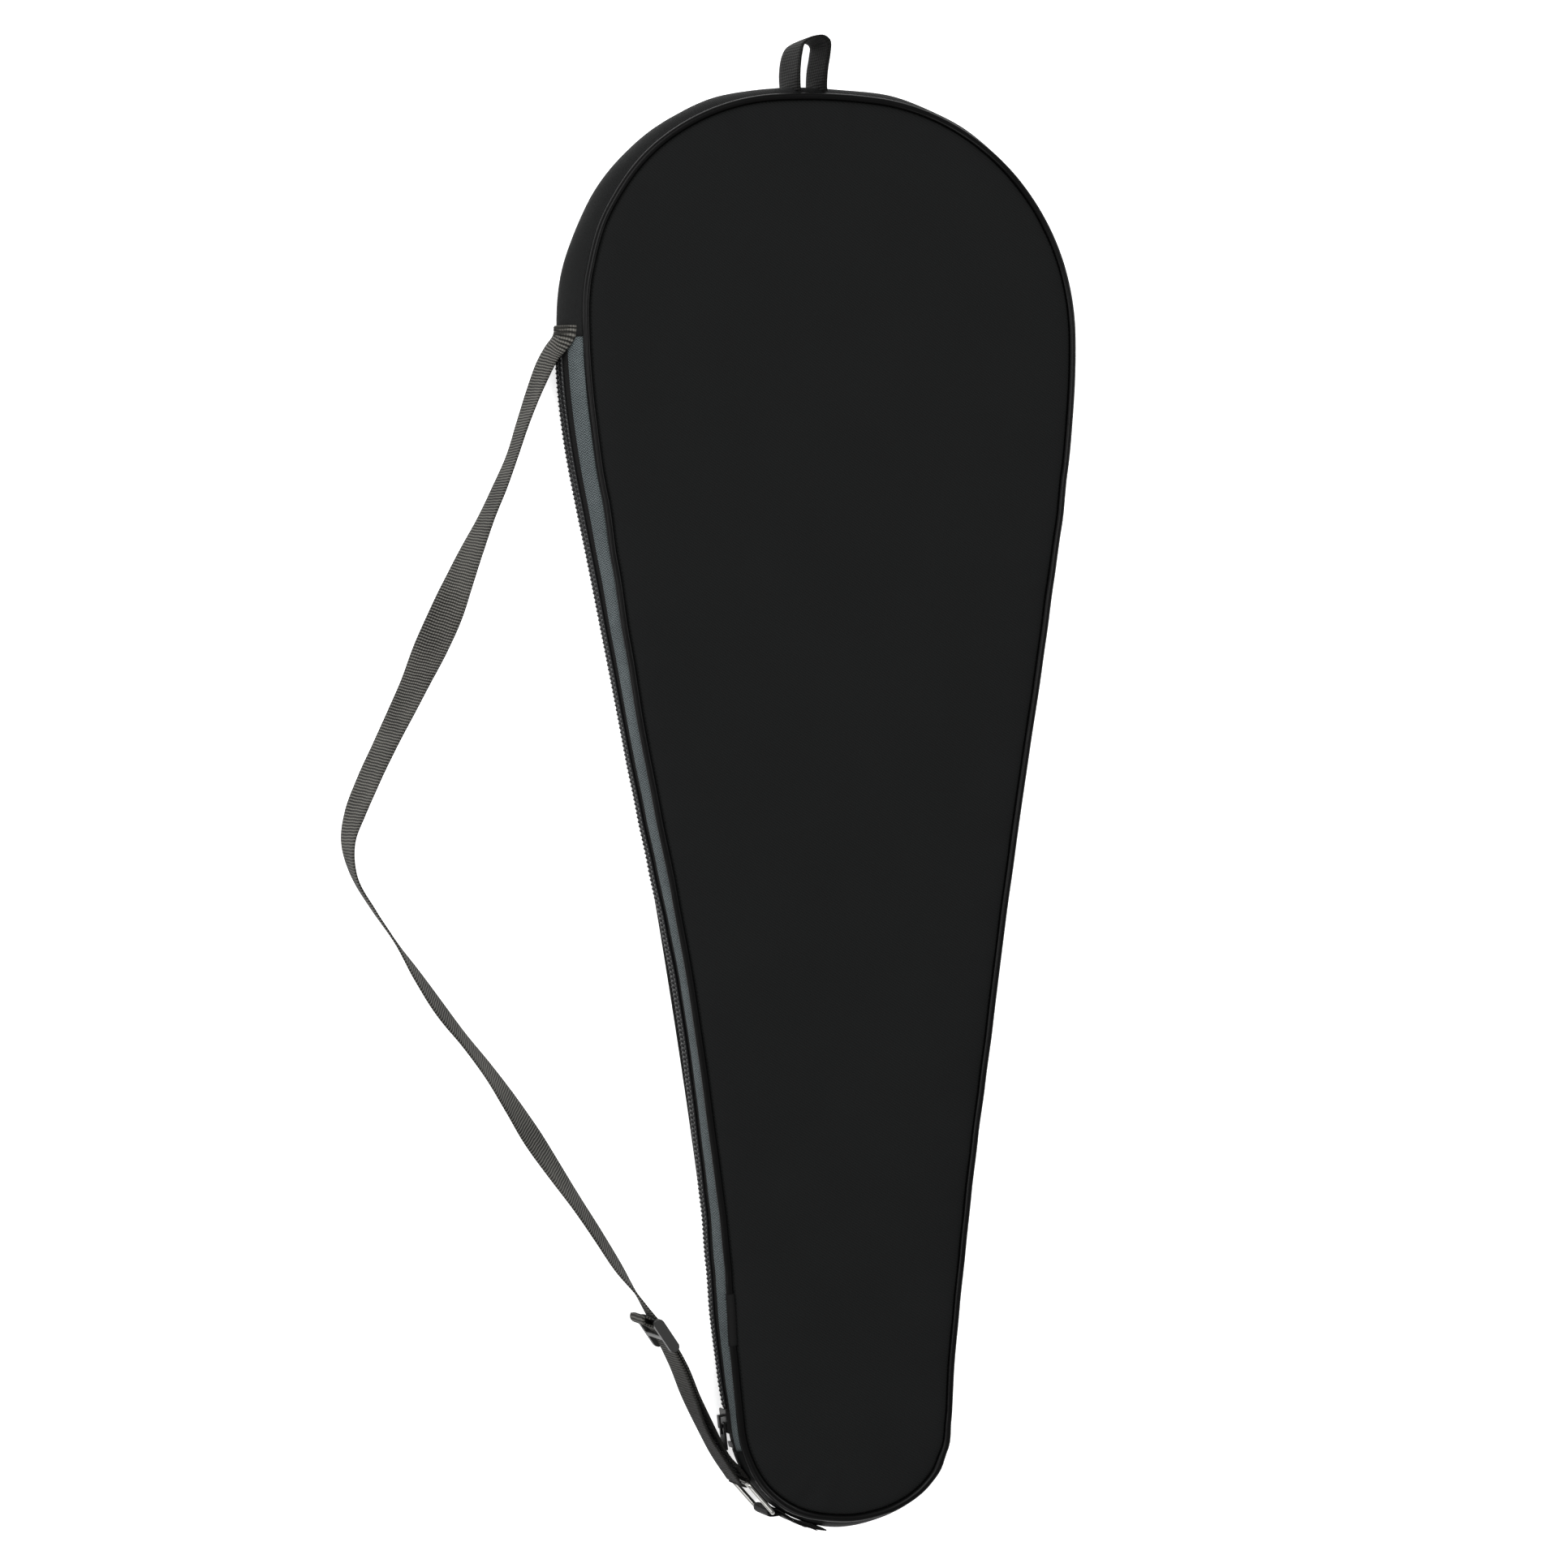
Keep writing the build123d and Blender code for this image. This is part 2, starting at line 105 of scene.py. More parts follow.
class Tap:
    """A shader output that takes arithmetic, adding a Math node for each operation."""

    def __init__(self, bench: "Bench", socket: bpy.types.NodeSocket) -> None:
        """Keep the bench that makes nodes and the socket that this stands for."""
        self.bench = bench
        self.socket = socket

    __add__ = __radd__ = operator("ADD")
    __sub__ = operator("SUBTRACT")
    __rsub__ = operator("SUBTRACT", swapped=True)
    __mul__ = __rmul__ = operator("MULTIPLY")
    __truediv__ = operator("DIVIDE")
    __pow__ = operator("POWER")
    __gt__ = operator("GREATER_THAN")
    least = operator("MINIMUM")
    most = operator("MAXIMUM")
    size = operator("ABSOLUTE")
    sine = operator("SINE")
    fold = operator("PINGPONG")

    def kept(self) -> "Tap":
        """This, held between 0 and 1."""
        return self.most(0.0).least(1.0)

    def ridges(self, pitch: float) -> "Tap":
        """Even ridges between 0 and 1, a pitch apart."""
        return (self * (TURN / pitch)).sine() * 0.5 + 0.5


Colour = tuple[float, float, float]


def grey(tone: float) -> Colour:
    """A neutral colour."""
    return (tone, tone, tone)


class Bench:
    """Makes one material and its nodes."""

    def __init__(self, name: str) -> None:
        """Start an empty material with its shader."""
        self.material = bpy.data.materials.new(name)
        self.material.use_nodes = True
        self.tree = self.material.node_tree
        self.shader = self.tree.nodes["Principled BSDF"]

    def node(
        self,
        kind: str,
        settings: dict[str, object] | None = None,
        inputs: dict[object, object] | None = None,
        output: object = 0,
    ) -> Tap:
        """Add a node.

        Args:
            kind: the node's type.
            settings: its attributes, set before its sockets.
            inputs: values or links, by socket name or number.
            output: the name or number of the output to return.

        Returns:
            The chosen output.
        """
        made = self.tree.nodes.new(kind)
        for key, value in (settings or {}).items():
            setattr(made, key, value)
        for key, value in (inputs or {}).items():
            self._feed(made.inputs[key], value)
        return Tap(self, made.outputs[output])

    def _feed(self, socket: bpy.types.NodeSocket, value: object) -> None:
        """Link or set one input."""
        if isinstance(value, Tap):
            self.tree.links.new(value.socket, socket)
        elif isinstance(value, tuple) and len(value) == 3 and socket.type == "RGBA":
            socket.default_value = (*value, 1.0)
        else:
            socket.default_value = value

    def set(self, name: str, value: object) -> None:
        """Set or feed one of the shader's own sockets."""
        self._feed(self.shader.inputs[name], value)

    def place(self) -> Tap:
        """Object coordinates, in metres."""
        return self.node("ShaderNodeTexCoord", output="Object")

    def _split(self, vector: Tap) -> list[Tap]:
        """A vector's three numbers."""
        made = self.tree.nodes.new("ShaderNodeSeparateXYZ")
        self._feed(made.inputs[0], vector)
        return [Tap(self, socket) for socket in made.outputs]

    def cloth_way(self) -> tuple[Tap, Tap]:
        """The piece's own map: millimetres along it and across it."""
        along, across, _ = self._split(self.node("ShaderNodeUVMap", {"uv_map": Loft.MAP}))
        return along, across

    def axes(self) -> tuple[Tap, ...]:
        """Object coordinates, split, in millimetres."""
        return tuple(part * (1 / MM) for part in self._split(self.place()))

    def speckle(self, size_mm: float, detail: float = 2.0) -> Tap:
        """Noise between 0 and 1 with grains of the given size."""
        inputs = {"Vector": self.place(), "Scale": 1 / (size_mm * MM), "Detail": detail}
        return self.node("ShaderNodeTexNoise", {}, inputs)

    def blend(self, share: object, low: object, high: object) -> Tap:
        """A colour between two, by share."""
        inputs = {0: share, 6: low, 7: high}
        return self.node("ShaderNodeMix", {"data_type": "RGBA"}, inputs, output=2)

    def dress(
        self, colour: Tap, roughness: Tap, height: Tap, depth_mm: float, strength: float
    ) -> bpy.types.Material:
        """Feed the patterns to the shader.

        Args:
            colour: the colour at each place.
            roughness: the roughness there, which is held between 0 and 1.
            height: the pattern that bumps the surface.
            depth_mm: how high the bumps are.
            strength: how much of them shows.

        Returns:
            The finished material.
        """
        self.set("Base Color", colour)
        self.set("Roughness", roughness.kept())
        inputs = {"Height": height, "Distance": depth_mm * MM, "Strength": strength}
        self.set("Normal", self.node("ShaderNodeBump", {}, inputs))
        return self.material
@dataclass(frozen=True)
class Finish:
    """What every finish has: its two tones and how glossy it is."""

    name: str
    tone: Colour
    deep: Colour
    roughness: float = 0.8
    specular: float = 0.12

    def bench(self) -> Bench:
        """Start the material with the constants set on the shader's own sockets."""
        made = Bench(self.name)
        made.set("Specular IOR Level", self.specular)
        made.set("Roughness", self.roughness)
        return made
    def shade(self, bench: Bench, share: Tap) -> Tap:
        """A tone between the deep one and the main one."""
        return bench.blend(share.kept(), self.deep, self.tone)

    def material(self) -> bpy.types.Material:
        """Make the material."""
        raise NotImplementedError


@dataclass(frozen=True)
class Twill(Finish):
    """Close woven nylon with a fine diagonal rib."""

    rib: float = 0.75
    thread: float = 0.8
    lean: float = 0.6
    relief: float = 0.12

    def material(self) -> bpy.types.Material:
        """Diagonal ribs crossed by fainter threads, with a little unevenness in tone."""
        bench = self.bench()
        x, y, z = bench.axes()
        ribs = (x * self.lean + y + z * self.lean).ridges(self.rib)
        threads = (x - y * self.lean + z).ridges(self.rib * self.thread)
        uneven = bench.speckle(45.0, 3.0)
        fine = bench.speckle(0.8)
        weave = ribs * 0.65 + threads * 0.35
        colour = self.shade(bench, weave * 0.5 + uneven * 0.5)
        roughness = uneven * 0.12 + fine * 0.08 + (self.roughness - 0.1)
        return bench.dress(colour, roughness, weave + fine * 0.5, self.relief, 0.5)


@dataclass(frozen=True)
class Ribbed(Finish):
    """Webbing with ribs across it that dip a little at its middle line."""

    rib: float = 1.5
    warp: float = 1.5
    dip: float = 0.35
    dip_width: float = 9.0
    relief: float = 0.5
    sheen: float = 0.02
    reach: float = 1.0
    # Painted shade: the strap darkens towards the ring over this length, standing in for the shadowed
    # inner layer of the doubled strap.
    ring_shade_y: float = -302.0
    ring_shade_length: float = 70.0
    # Painted shade in the strap's fold at the bend: where it falls, how wide it is and how dark.
    bend_y: float = -25.0
    bend_size: float = 14.0
    bend_shade: float = 0.28

    def material(self) -> bpy.types.Material:
        """Cross ribs and warp threads, with painted shade that darkens the strap towards the ring and
        at the bend, as far as reach says.
        """
        bench = self.bench()
        along, across = bench.cloth_way()
        bow = (across * (TURN / self.dip_width)).sine() * self.dip * 0.25
        ribs = (along + bow).ridges(self.rib)
        warps = across.ridges(self.warp)
        fibre = bench.speckle(0.5)
        worn = bench.speckle(22.0)
        share = ribs**1.6 * 0.5 + warps * ribs * 0.55 + (fibre - 0.5) * 0.35 + (worn - 0.5) * 0.4
        _, north, _ = bench.axes()
        # Painted shade towards the ring, scaled by reach.
        ring_shade = ((north - self.ring_shade_y) / self.ring_shade_length).kept() * self.reach + (1.0 - self.reach)
        # Painted shade at the bend.
        bend_shade_mask = (2.6 - ((north - self.bend_y) / self.bend_size).size() * 2.6).kept()
        share = share * ring_shade * (1.0 - bend_shade_mask * (self.bend_shade * self.reach))
        bench.set("Sheen Weight", self.sheen)
        roughness = fibre * 0.2 + (self.roughness - 0.1)
        height = ribs + warps * 0.35 + fibre * 0.3
        return bench.dress(self.shade(bench, share), roughness, height, self.relief, 0.8)


@dataclass(frozen=True)
class Herringbone(Finish):
    """Zip tape: a herringbone weave, darkened beside the coil by painted shade from the coil."""

    pitch: float = 1.3
    column: float = 1.15
    slant: float = 1.2
    relief: float = 0.22
    # Painted shade of the coil on the tape: where it starts across the tape, and its tone.
    coil_shade_from: float = 9.0
    black: Colour = grey(0.006)

    def material(self) -> bpy.types.Material:
        """Zigzag ribs in narrow columns, and a band of painted shade where the coil shades the tape."""
        bench = self.bench()
        along, across = bench.cloth_way()
        ribs = (along + across.fold(self.column) * self.slant).ridges(self.pitch)
        fibre = bench.speckle(0.45)
        uneven = bench.speckle(16.0)
        weave = self.shade(bench, ribs * 0.75 + (fibre - 0.5) * 1.1 + 0.05 + (uneven - 0.5) * 0.3)
        # Painted shade: beyond this distance across the tape the colour turns near black, standing in
        # for the coil's shadow on the tape.
        colour = bench.blend(across > self.coil_shade_from, weave, self.black)
        roughness = fibre * 0.15 + (self.roughness - 0.05)
        return bench.dress(colour, roughness, ribs + fibre * 0.4, self.relief, 0.8)


@dataclass(frozen=True)
class Vinyl(Finish):
    """Smooth plastic skin or moulding with a faint grain."""

    grain: float = 0.6
    relief: float = 0.03

    def material(self) -> bpy.types.Material:
        """Smooth tone, fine grain and slow changes in gloss."""
        bench = self.bench()
        grain = bench.speckle(self.grain, 3.0)
        slow = bench.speckle(30.0)
        colour = self.shade(bench, grain * 0.5 + slow * 0.5)
        roughness = slow * 0.16 + grain * 0.06 + (self.roughness - 0.11)
        return bench.dress(colour, roughness, grain, self.relief, 0.5)


@dataclass(frozen=True)
class Plated(Finish):
    """Metal, bare or under worn enamel."""

    metal: float = 1.0
    wear: float = 0.0
    bare: Colour = (0.55, 0.55, 0.53)
    relief: float = 0.03

    def material(self) -> bpy.types.Material:
        """Fine scratches, and bright spots where enamel has worn."""
        bench = self.bench()
        scratch = bench.speckle(0.35, 4.0)
        worn = ((bench.speckle(1.1, 3.0) - (1.0 - self.wear)) * 9.0).kept()
        skin = bench.blend(scratch, self.deep, self.tone)
        bench.set("Metallic", (worn + self.metal).kept())
        roughness = scratch * 0.18 + (self.roughness - 0.09)
        return bench.dress(bench.blend(worn, skin, self.bare), roughness, scratch, self.relief, 0.5)


@dataclass(frozen=True)
class Thread(Finish):
    """Twisted sewing thread."""

    strand: float = 0.5
    relief: float = 0.08

    def material(self) -> bpy.types.Material:
        """Short slanting strands."""
        bench = self.bench()
        x, y, z = bench.axes()
        strands = (x + y * 1.3 + z).ridges(self.strand)
        fuzz = bench.speckle(0.3)
        colour = self.shade(bench, strands * 0.6 + fuzz * 0.4)
        return bench.dress(colour, fuzz * 0.1 + (self.roughness - 0.05), strands, self.relief, 0.7)


COVER = Twill(
    "cover", (0.0068, 0.0072, 0.0072), (0.0022, 0.0024, 0.0024), 0.76, 0.10, rib=1.4, relief=0.22
)
SIDE_WALL = Twill(
    "gusset", (0.0060, 0.0064, 0.0064), (0.0026, 0.0028, 0.0028), 0.7, 0.12, rib=0.9, relief=0.2
)
LINING = Twill("lining", (0.05, 0.05, 0.052), (0.03, 0.03, 0.032), 0.75, 0.2, rib=0.6)
BINDING = Twill("binding", grey(0.03), grey(0.015), 0.8, 0.15, rib=1.0)
PIPING = Vinyl("piping", grey(0.0026), grey(0.0014), 0.33, 0.09)
SLEEVE = Vinyl("sleeve", grey(0.0055), grey(0.0035), 0.75, 0.1)
TAPE = Herringbone("zip_tape", (0.128, 0.150, 0.154), (0.014, 0.018, 0.020), 0.85, 0.2)
COIL = Vinyl("coil", (0.0075, 0.0078, 0.0085), (0.003, 0.003, 0.0034), 0.38, 0.22, grain=0.3)
COIL_THREAD = Thread("coil_thread", (0.17, 0.18, 0.18), grey(0.06), 0.6, 0.2)
BLACK_THREAD = Thread("black_thread", grey(0.0032), grey(0.0012), 0.7, 0.1)
GREY_THREAD = Thread("grey_thread", (0.036, 0.035, 0.031), (0.014, 0.014, 0.013), 0.7, 0.1)
STOP = Vinyl("stop", grey(0.02), grey(0.01), 0.4, 0.5)
SLIDER = Plated("slider", grey(0.009), grey(0.004), 0.36, 0.2, metal=0.1, wear=0.14)
PULL = Plated("pull", grey(0.010), grey(0.005), 0.34, 0.2, metal=0.1, wear=0.18)
# The strap's webbing carries the painted shade towards the ring and at the bend; the dark webbing
# (reach 0) has none.
WEBBING = Ribbed("webbing", (0.150, 0.146, 0.132), (0.0065, 0.0063, 0.0056), 0.8, 0.08)
DARK_WEBBING = Ribbed(
    "dark_webbing", (0.0072, 0.0072, 0.0066), (0.0022, 0.0022, 0.0020), 0.7, 0.12, reach=0.0
)
ADJUSTER = Vinyl("adjuster", (0.022, 0.022, 0.021), (0.012, 0.012, 0.0115), 0.45, 0.4)
RING = Plated("ring", (0.36, 0.355, 0.34), (0.20, 0.20, 0.19), 0.3, 0.5)


# ---------------------------------------------------------------- meshes


class Loft:
    """Grows a mesh ring by ring with extrusions, and maps it in millimetres."""

    MAP = "cloth_way"

    def __init__(self, name: str, closed_ring: bool = True) -> None:
        """Start with an empty mesh."""
        self.name = name
        self.closed_ring = closed_ring
        self.mesh = bmesh.new()
        self.rings: list[list[bmesh.types.BMVert]] = []
        self.runs: list[float] = []

    def _edges(self, ring: Sequence[bmesh.types.BMVert]) -> list[bmesh.types.BMEdge]:
        """The edges that join a ring's points."""
        last = len(ring) if self.closed_ring else len(ring) - 1
        return [self.mesh.edges.get((ring[i], ring[(i + 1) % len(ring)])) for i in range(last)]

    def ring(self, points: Sequence[Vector], run: float) -> None:
        """Add a ring.

        Args:
            points: its places in millimetres, as many as in every other ring.
            run: how far along the piece it is.
        """
        if not self.rings:
            made = [self.mesh.verts.new(p * MM) for p in points]
            last = len(made) if self.closed_ring else len(made) - 1
            for i in range(last):
                self.mesh.edges.new((made[i], made[(i + 1) % len(made)]))
        else:
            before = self.rings[-1]
            grown = bmesh.ops.extrude_edge_only(self.mesh, edges=self._edges(before))["geom"]
            fresh = {g for g in grown if isinstance(g, bmesh.types.BMVert)}
            made = [next(o for e in v.link_edges if (o := e.other_vert(v)) in fresh) for v in before]
            for vertex, point in zip(made, points):
                vertex.co = point * MM
        self.rings.append(made)
        self.runs.append(run)

    def cap(self) -> None:
        """Close both ends with a face."""
        for ring in (self.rings[0], self.rings[-1]):
            bmesh.ops.contextual_create(self.mesh, geom=self._edges(ring))

    def join_ends(self) -> None:
        """Join the last ring to the first."""
        edges = self._edges(self.rings[0]) + self._edges(self.rings[-1])
        bmesh.ops.bridge_loops(self.mesh, edges=edges)

    def _map(self) -> None:
        """Write the map: millimetres along the run and across the ring."""
        layer = self.mesh.loops.layers.uv.new(self.MAP)
        across: dict[bmesh.types.BMVert, tuple[float, float, float]] = {}
        for ring, run in zip(self.rings, self.runs):
            total = sum(
                (ring[i].co - ring[(i + 1) % len(ring)].co).length for i in range(len(ring))
            )
            here = 0.0
            for i, vertex in enumerate(ring):
                across[vertex] = (run, here / MM, total / MM)
                here += (vertex.co - ring[(i + 1) % len(ring)].co).length
        for face in self.mesh.faces:
            known = [across[v] for v in face.verts]
            top = max(k[1] for k in known)
            for loop, (run, place, total) in zip(face.loops, known):
                wrapped = self.closed_ring and top - place > total / 2
                loop[layer].uv = (run, total if wrapped else place)

    def piece(
        self,
        finish: Finish,
        slot: str,
        *replaced: str,
        body: Body | None = Body.CASE,
        merge: float = 0.0,
    ) -> bpy.types.Object:
        """Map the mesh and put it in the scene.

        Args:
            finish: its finish.
            slot: its slot's name; not used.
            replaced: the CAD nodes that it stands in for.
            body: the rigid body that it rides on, or None to leave it unattached.
            merge: points closer than this, in millimetres, become one.

        Returns:
            The new object.
        """
        self._map()
        if merge:
            bmesh.ops.remove_doubles(self.mesh, verts=self.mesh.verts, dist=merge * MM)
        return put_in(self.name, self.mesh, finish, replaced, body)


def put_in(
    name: str,
    mesh: bmesh.types.BMesh,
    finish: Finish,
    replaced: Sequence[str],
    body: Body | None = Body.CASE,
) -> bpy.types.Object:
    """Turn a bmesh into a smooth object in the scene.

    Args:
        name: the piece's name.
        mesh: its bmesh, which is freed.
        finish: its finish.
        replaced: the CAD nodes that it stands in for.
        body: the body that it rides on, or None to leave it unattached.

    Returns:
        The new object.
    """
    bmesh.ops.recalc_face_normals(mesh, faces=mesh.faces)
    for face in mesh.faces:
        face.smooth = True
    data = bpy.data.meshes.new(name)
    mesh.to_mesh(data)
    mesh.free()
    made = bpy.data.objects.new(name, data)
    bpy.context.scene.collection.objects.link(made)
    data.materials.append(Paint.of(finish))
    if body is not None:
        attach(made, body.value)
    if replaced:
        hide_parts(*replaced)
    return made


class Stitches:
    """Grows rows of short stitches as one piece."""

    def __init__(self, name: str, finish: Finish) -> None:
        """Start with an empty mesh."""
        self.name = name
        self.finish = finish
        self.mesh = bmesh.new()

    def add(self, spot: Vector, axes: Sequence[Vector], shape: Sequence[float]) -> None:
        """Add one stitch.

        Args:
            spot: its middle, in millimetres.
            axes: the thread's direction, the way out of the cloth, and across both.
            shape: half its size along each of them.
        """
        turn = Matrix(axes).transposed().to_4x4()
        spread = Matrix.Diagonal((*shape, 1.0))
        matrix = Matrix.Scale(MM, 4) @ Matrix.Translation(spot) @ turn @ spread
        bmesh.ops.create_icosphere(self.mesh, subdivisions=1, radius=1.0, matrix=matrix)

    def piece(self, *replaced: str) -> bpy.types.Object:
        """Put the stitches in the scene."""
        return put_in(self.name, self.mesh, self.finish, replaced)


def circle(middle: Vector, across: Vector, rise: Vector, sides: int) -> list[Vector]:
    """Evenly turned points on the ellipse that two half-axes span round a middle."""
    turns = [TURN * k / sides for k in range(sides)]
    return [middle + across * math.cos(t) + rise * math.sin(t) for t in turns]


class Paint:
    """Keeps one material for each finish."""

    made: dict[str, bpy.types.Material] = {}

    @classmethod
    def of(cls, finish: Finish) -> bpy.types.Material:
        """The finish's material, made once."""
        if finish.name not in cls.made:
            cls.made[finish.name] = finish.material()
        return cls.made[finish.name]


def smooth_way(stops: Sequence[Sequence[float]], step: float) -> list[list[float]]:
    """Draw a smooth curve through stops of any dimension.

    Args:
        stops: the places that it passes through; the first three numbers are X, Y and Z.
        step: the distance between the places returned, in millimetres.

    Returns:
        Places along the curve, each as long as a stop.
    """
    fine: list[list[float]] = []
    last = len(stops) - 1
    for i in range(last):
        b, c = stops[i], stops[i + 1]
        a = stops[i - 1] if i else [2 * p - q for p, q in zip(b, c)]
        d = stops[i + 2] if i + 2 <= last else [2 * q - p for p, q in zip(b, c)]
        spans = ((a, b), (b, c), (c, d))
        before, here, after = (math.sqrt(math.dist(p[:3], q[:3])) for p, q in spans)
        parts = 24
        for k in range(parts + (i == last - 1)):
            t = k / parts
            place = []
            for p, q, r, w in zip(a, b, c, d):
                leave = here * ((q - p) / before - (r - p) / (before + here)) + r - q
                reach = here * ((w - r) / after - (w - q) / (here + after)) + r - q
                place.append(
                    q
                    + leave * (t - 2 * t * t + t**3)
                    + (r - q) * (3 * t * t - 2 * t**3)
                    + reach * (t**3 - t * t)
                )
            fine.append(place)
    runs = [0.0]
    for p, q in zip(fine, fine[1:]):
        runs.append(runs[-1] + math.dist(p[:3], q[:3]))
    count = max(2, round(runs[-1] / step))
    out = []
    at = 0
    for k in range(count + 1):
        goal = runs[-1] * k / count
        while at < len(runs) - 2 and runs[at + 1] < goal:
            at += 1
        share = (goal - runs[at]) / max(1e-9, runs[at + 1] - runs[at])
        out.append([p + (q - p) * share for p, q in zip(fine[at], fine[at + 1])])
    return out


def wave(run: float, size: float, seed: float, height: float = 0.0) -> float:
    """Seeded unevenness between about -1 and 1 along a run, in lumps of a size."""
    return noise.noise(Vector((run / size, seed, height / size))) * 1.6


def ripple(place: Vector, size: float, seed: float) -> float:
    """Seeded unevenness between about -1 and 1 at a place, in lumps of a size."""
    return noise.noise(Vector((place.x / size, place.y / size, place.z / size + seed))) * 1.6


# ---------------------------------------------------------------- the case's outline


@dataclass(frozen=True)
class Arc:
    """One arc of the seam line: its centre, radius, first angle and turn in degrees."""

    x: float
    y: float
    radius: float
    start: float
    turn: float
    hollow: bool = False

    @property
    def length(self) -> float:
        """Its length."""
        return self.radius * math.radians(abs(self.turn))

    def at(self, run: float) -> tuple[Vector, Vector]:
        """The place and outward direction at a distance from its start."""
        angle = math.radians(self.start + self.turn * run / self.length)
        ray = Vector((math.cos(angle), math.sin(angle), 0))
        return Vector((self.x, self.y, 0)) + ray * self.radius, -ray if self.hollow else ray


@dataclass(frozen=True)
class SeamLine:
    """The teardrop that both piped seams follow, as a distance clockwise from the crown."""

    half_length: float = 358.2
    half_width: float = 134.0
    crown_radius: float = 310.0
    crown_angle: float = 5.0
    flank_radius: float = 390.0
    side_lean: float = 11.8
    hollow_radius: float = 4261.954
    hollow_x: float = 4297.646
    hollow_y: float = -711.036
    foot_radius: float = 55.0
    foot_lean: float = 5.421

    @property
    def foot_y(self) -> float:
        """The round foot's centre."""
        return self.foot_radius - self.half_length

    @property
    def head_radius(self) -> float:
        """The round head's radius."""
        sine = math.sin(math.radians(self.crown_angle))
        return (self.half_width - self.crown_radius * sine) / (1 - sine)

    @property
    def head_y(self) -> float:
        """Where the case is widest."""
        rise = math.cos(math.radians(self.crown_angle)) * (self.crown_radius - self.head_radius)
        return self.half_length - self.crown_radius + rise

    @property
    def arcs(self) -> tuple[Arc, ...]:
        """The right half, from the crown to the foot."""
        return (
            Arc(0, self.half_length - self.crown_radius, self.crown_radius, 90, -self.crown_angle),
            Arc(
                self.half_width - self.head_radius,
                self.head_y,
                self.head_radius,
                90 - self.crown_angle,
                self.crown_angle - 90,
            ),
            Arc(
                self.half_width - self.flank_radius,
                self.head_y,
                self.flank_radius,
                0,
                -self.side_lean,
            ),
            Arc(
                self.hollow_x,
                self.hollow_y,
                self.hollow_radius,
                180 - self.side_lean,
                self.side_lean - self.foot_lean,
                True,
            ),
            Arc(0, self.foot_y, self.foot_radius, -self.foot_lean, self.foot_lean - 90),
        )

    @property
    def half(self) -> float:
        """The distance from the crown to the foot."""
        return sum(a.length for a in self.arcs)

    def at(self, run: float) -> tuple[Vector, Vector]:
        """The place and outward direction at a distance clockwise from the crown."""
        whole = 2 * self.half
        run %= whole
        left = run > self.half
        rest = whole - run if left else run
        for arc in self.arcs:
            if rest <= arc.length or arc is self.arcs[-1]:
                place, out = arc.at(min(rest, arc.length))
                break
            rest -= arc.length
        flip = Vector((-1 if left else 1, 1, 1))
        return place * flip, out * flip

    def left_at(self, y: float) -> float:
        """The distance, clockwise from the crown, of the left side's place at a height along Y."""
        low, high = self.half, 2 * self.half
        for _ in range(40):
            middle = (low + high) / 2
            if self.at(middle)[0].y < y:
                low = middle
            else:
                high = middle
        return low

    def runs(self, start: float, end: float, step: float) -> list[float]:
        """Evenly spaced distances from start to end."""
        count = max(2, round(abs(end - start) / step))
        return [start + (end - start) * k / count for k in range(count + 1)]


SEAM = SeamLine()
DEPTH = 32.0
MIDDLE = DEPTH / 2
SLEEVE_RADIUS = 2.2
SEAM_EDGE = 4.55
BULGE = 6.2


def bow(height: float, set_back: float = 0.0) -> float:
    """How far the side wall's arc stands out from the seam line at a height."""
    half = MIDDLE - SEAM_EDGE
    radius = (BULGE**2 + half**2) / (2 * BULGE)
    across = min(abs(height - MIDDLE), half)
    return math.sqrt(radius**2 - across**2) - (radius - BULGE) - set_back


# ---------------------------------------------------------------- panels


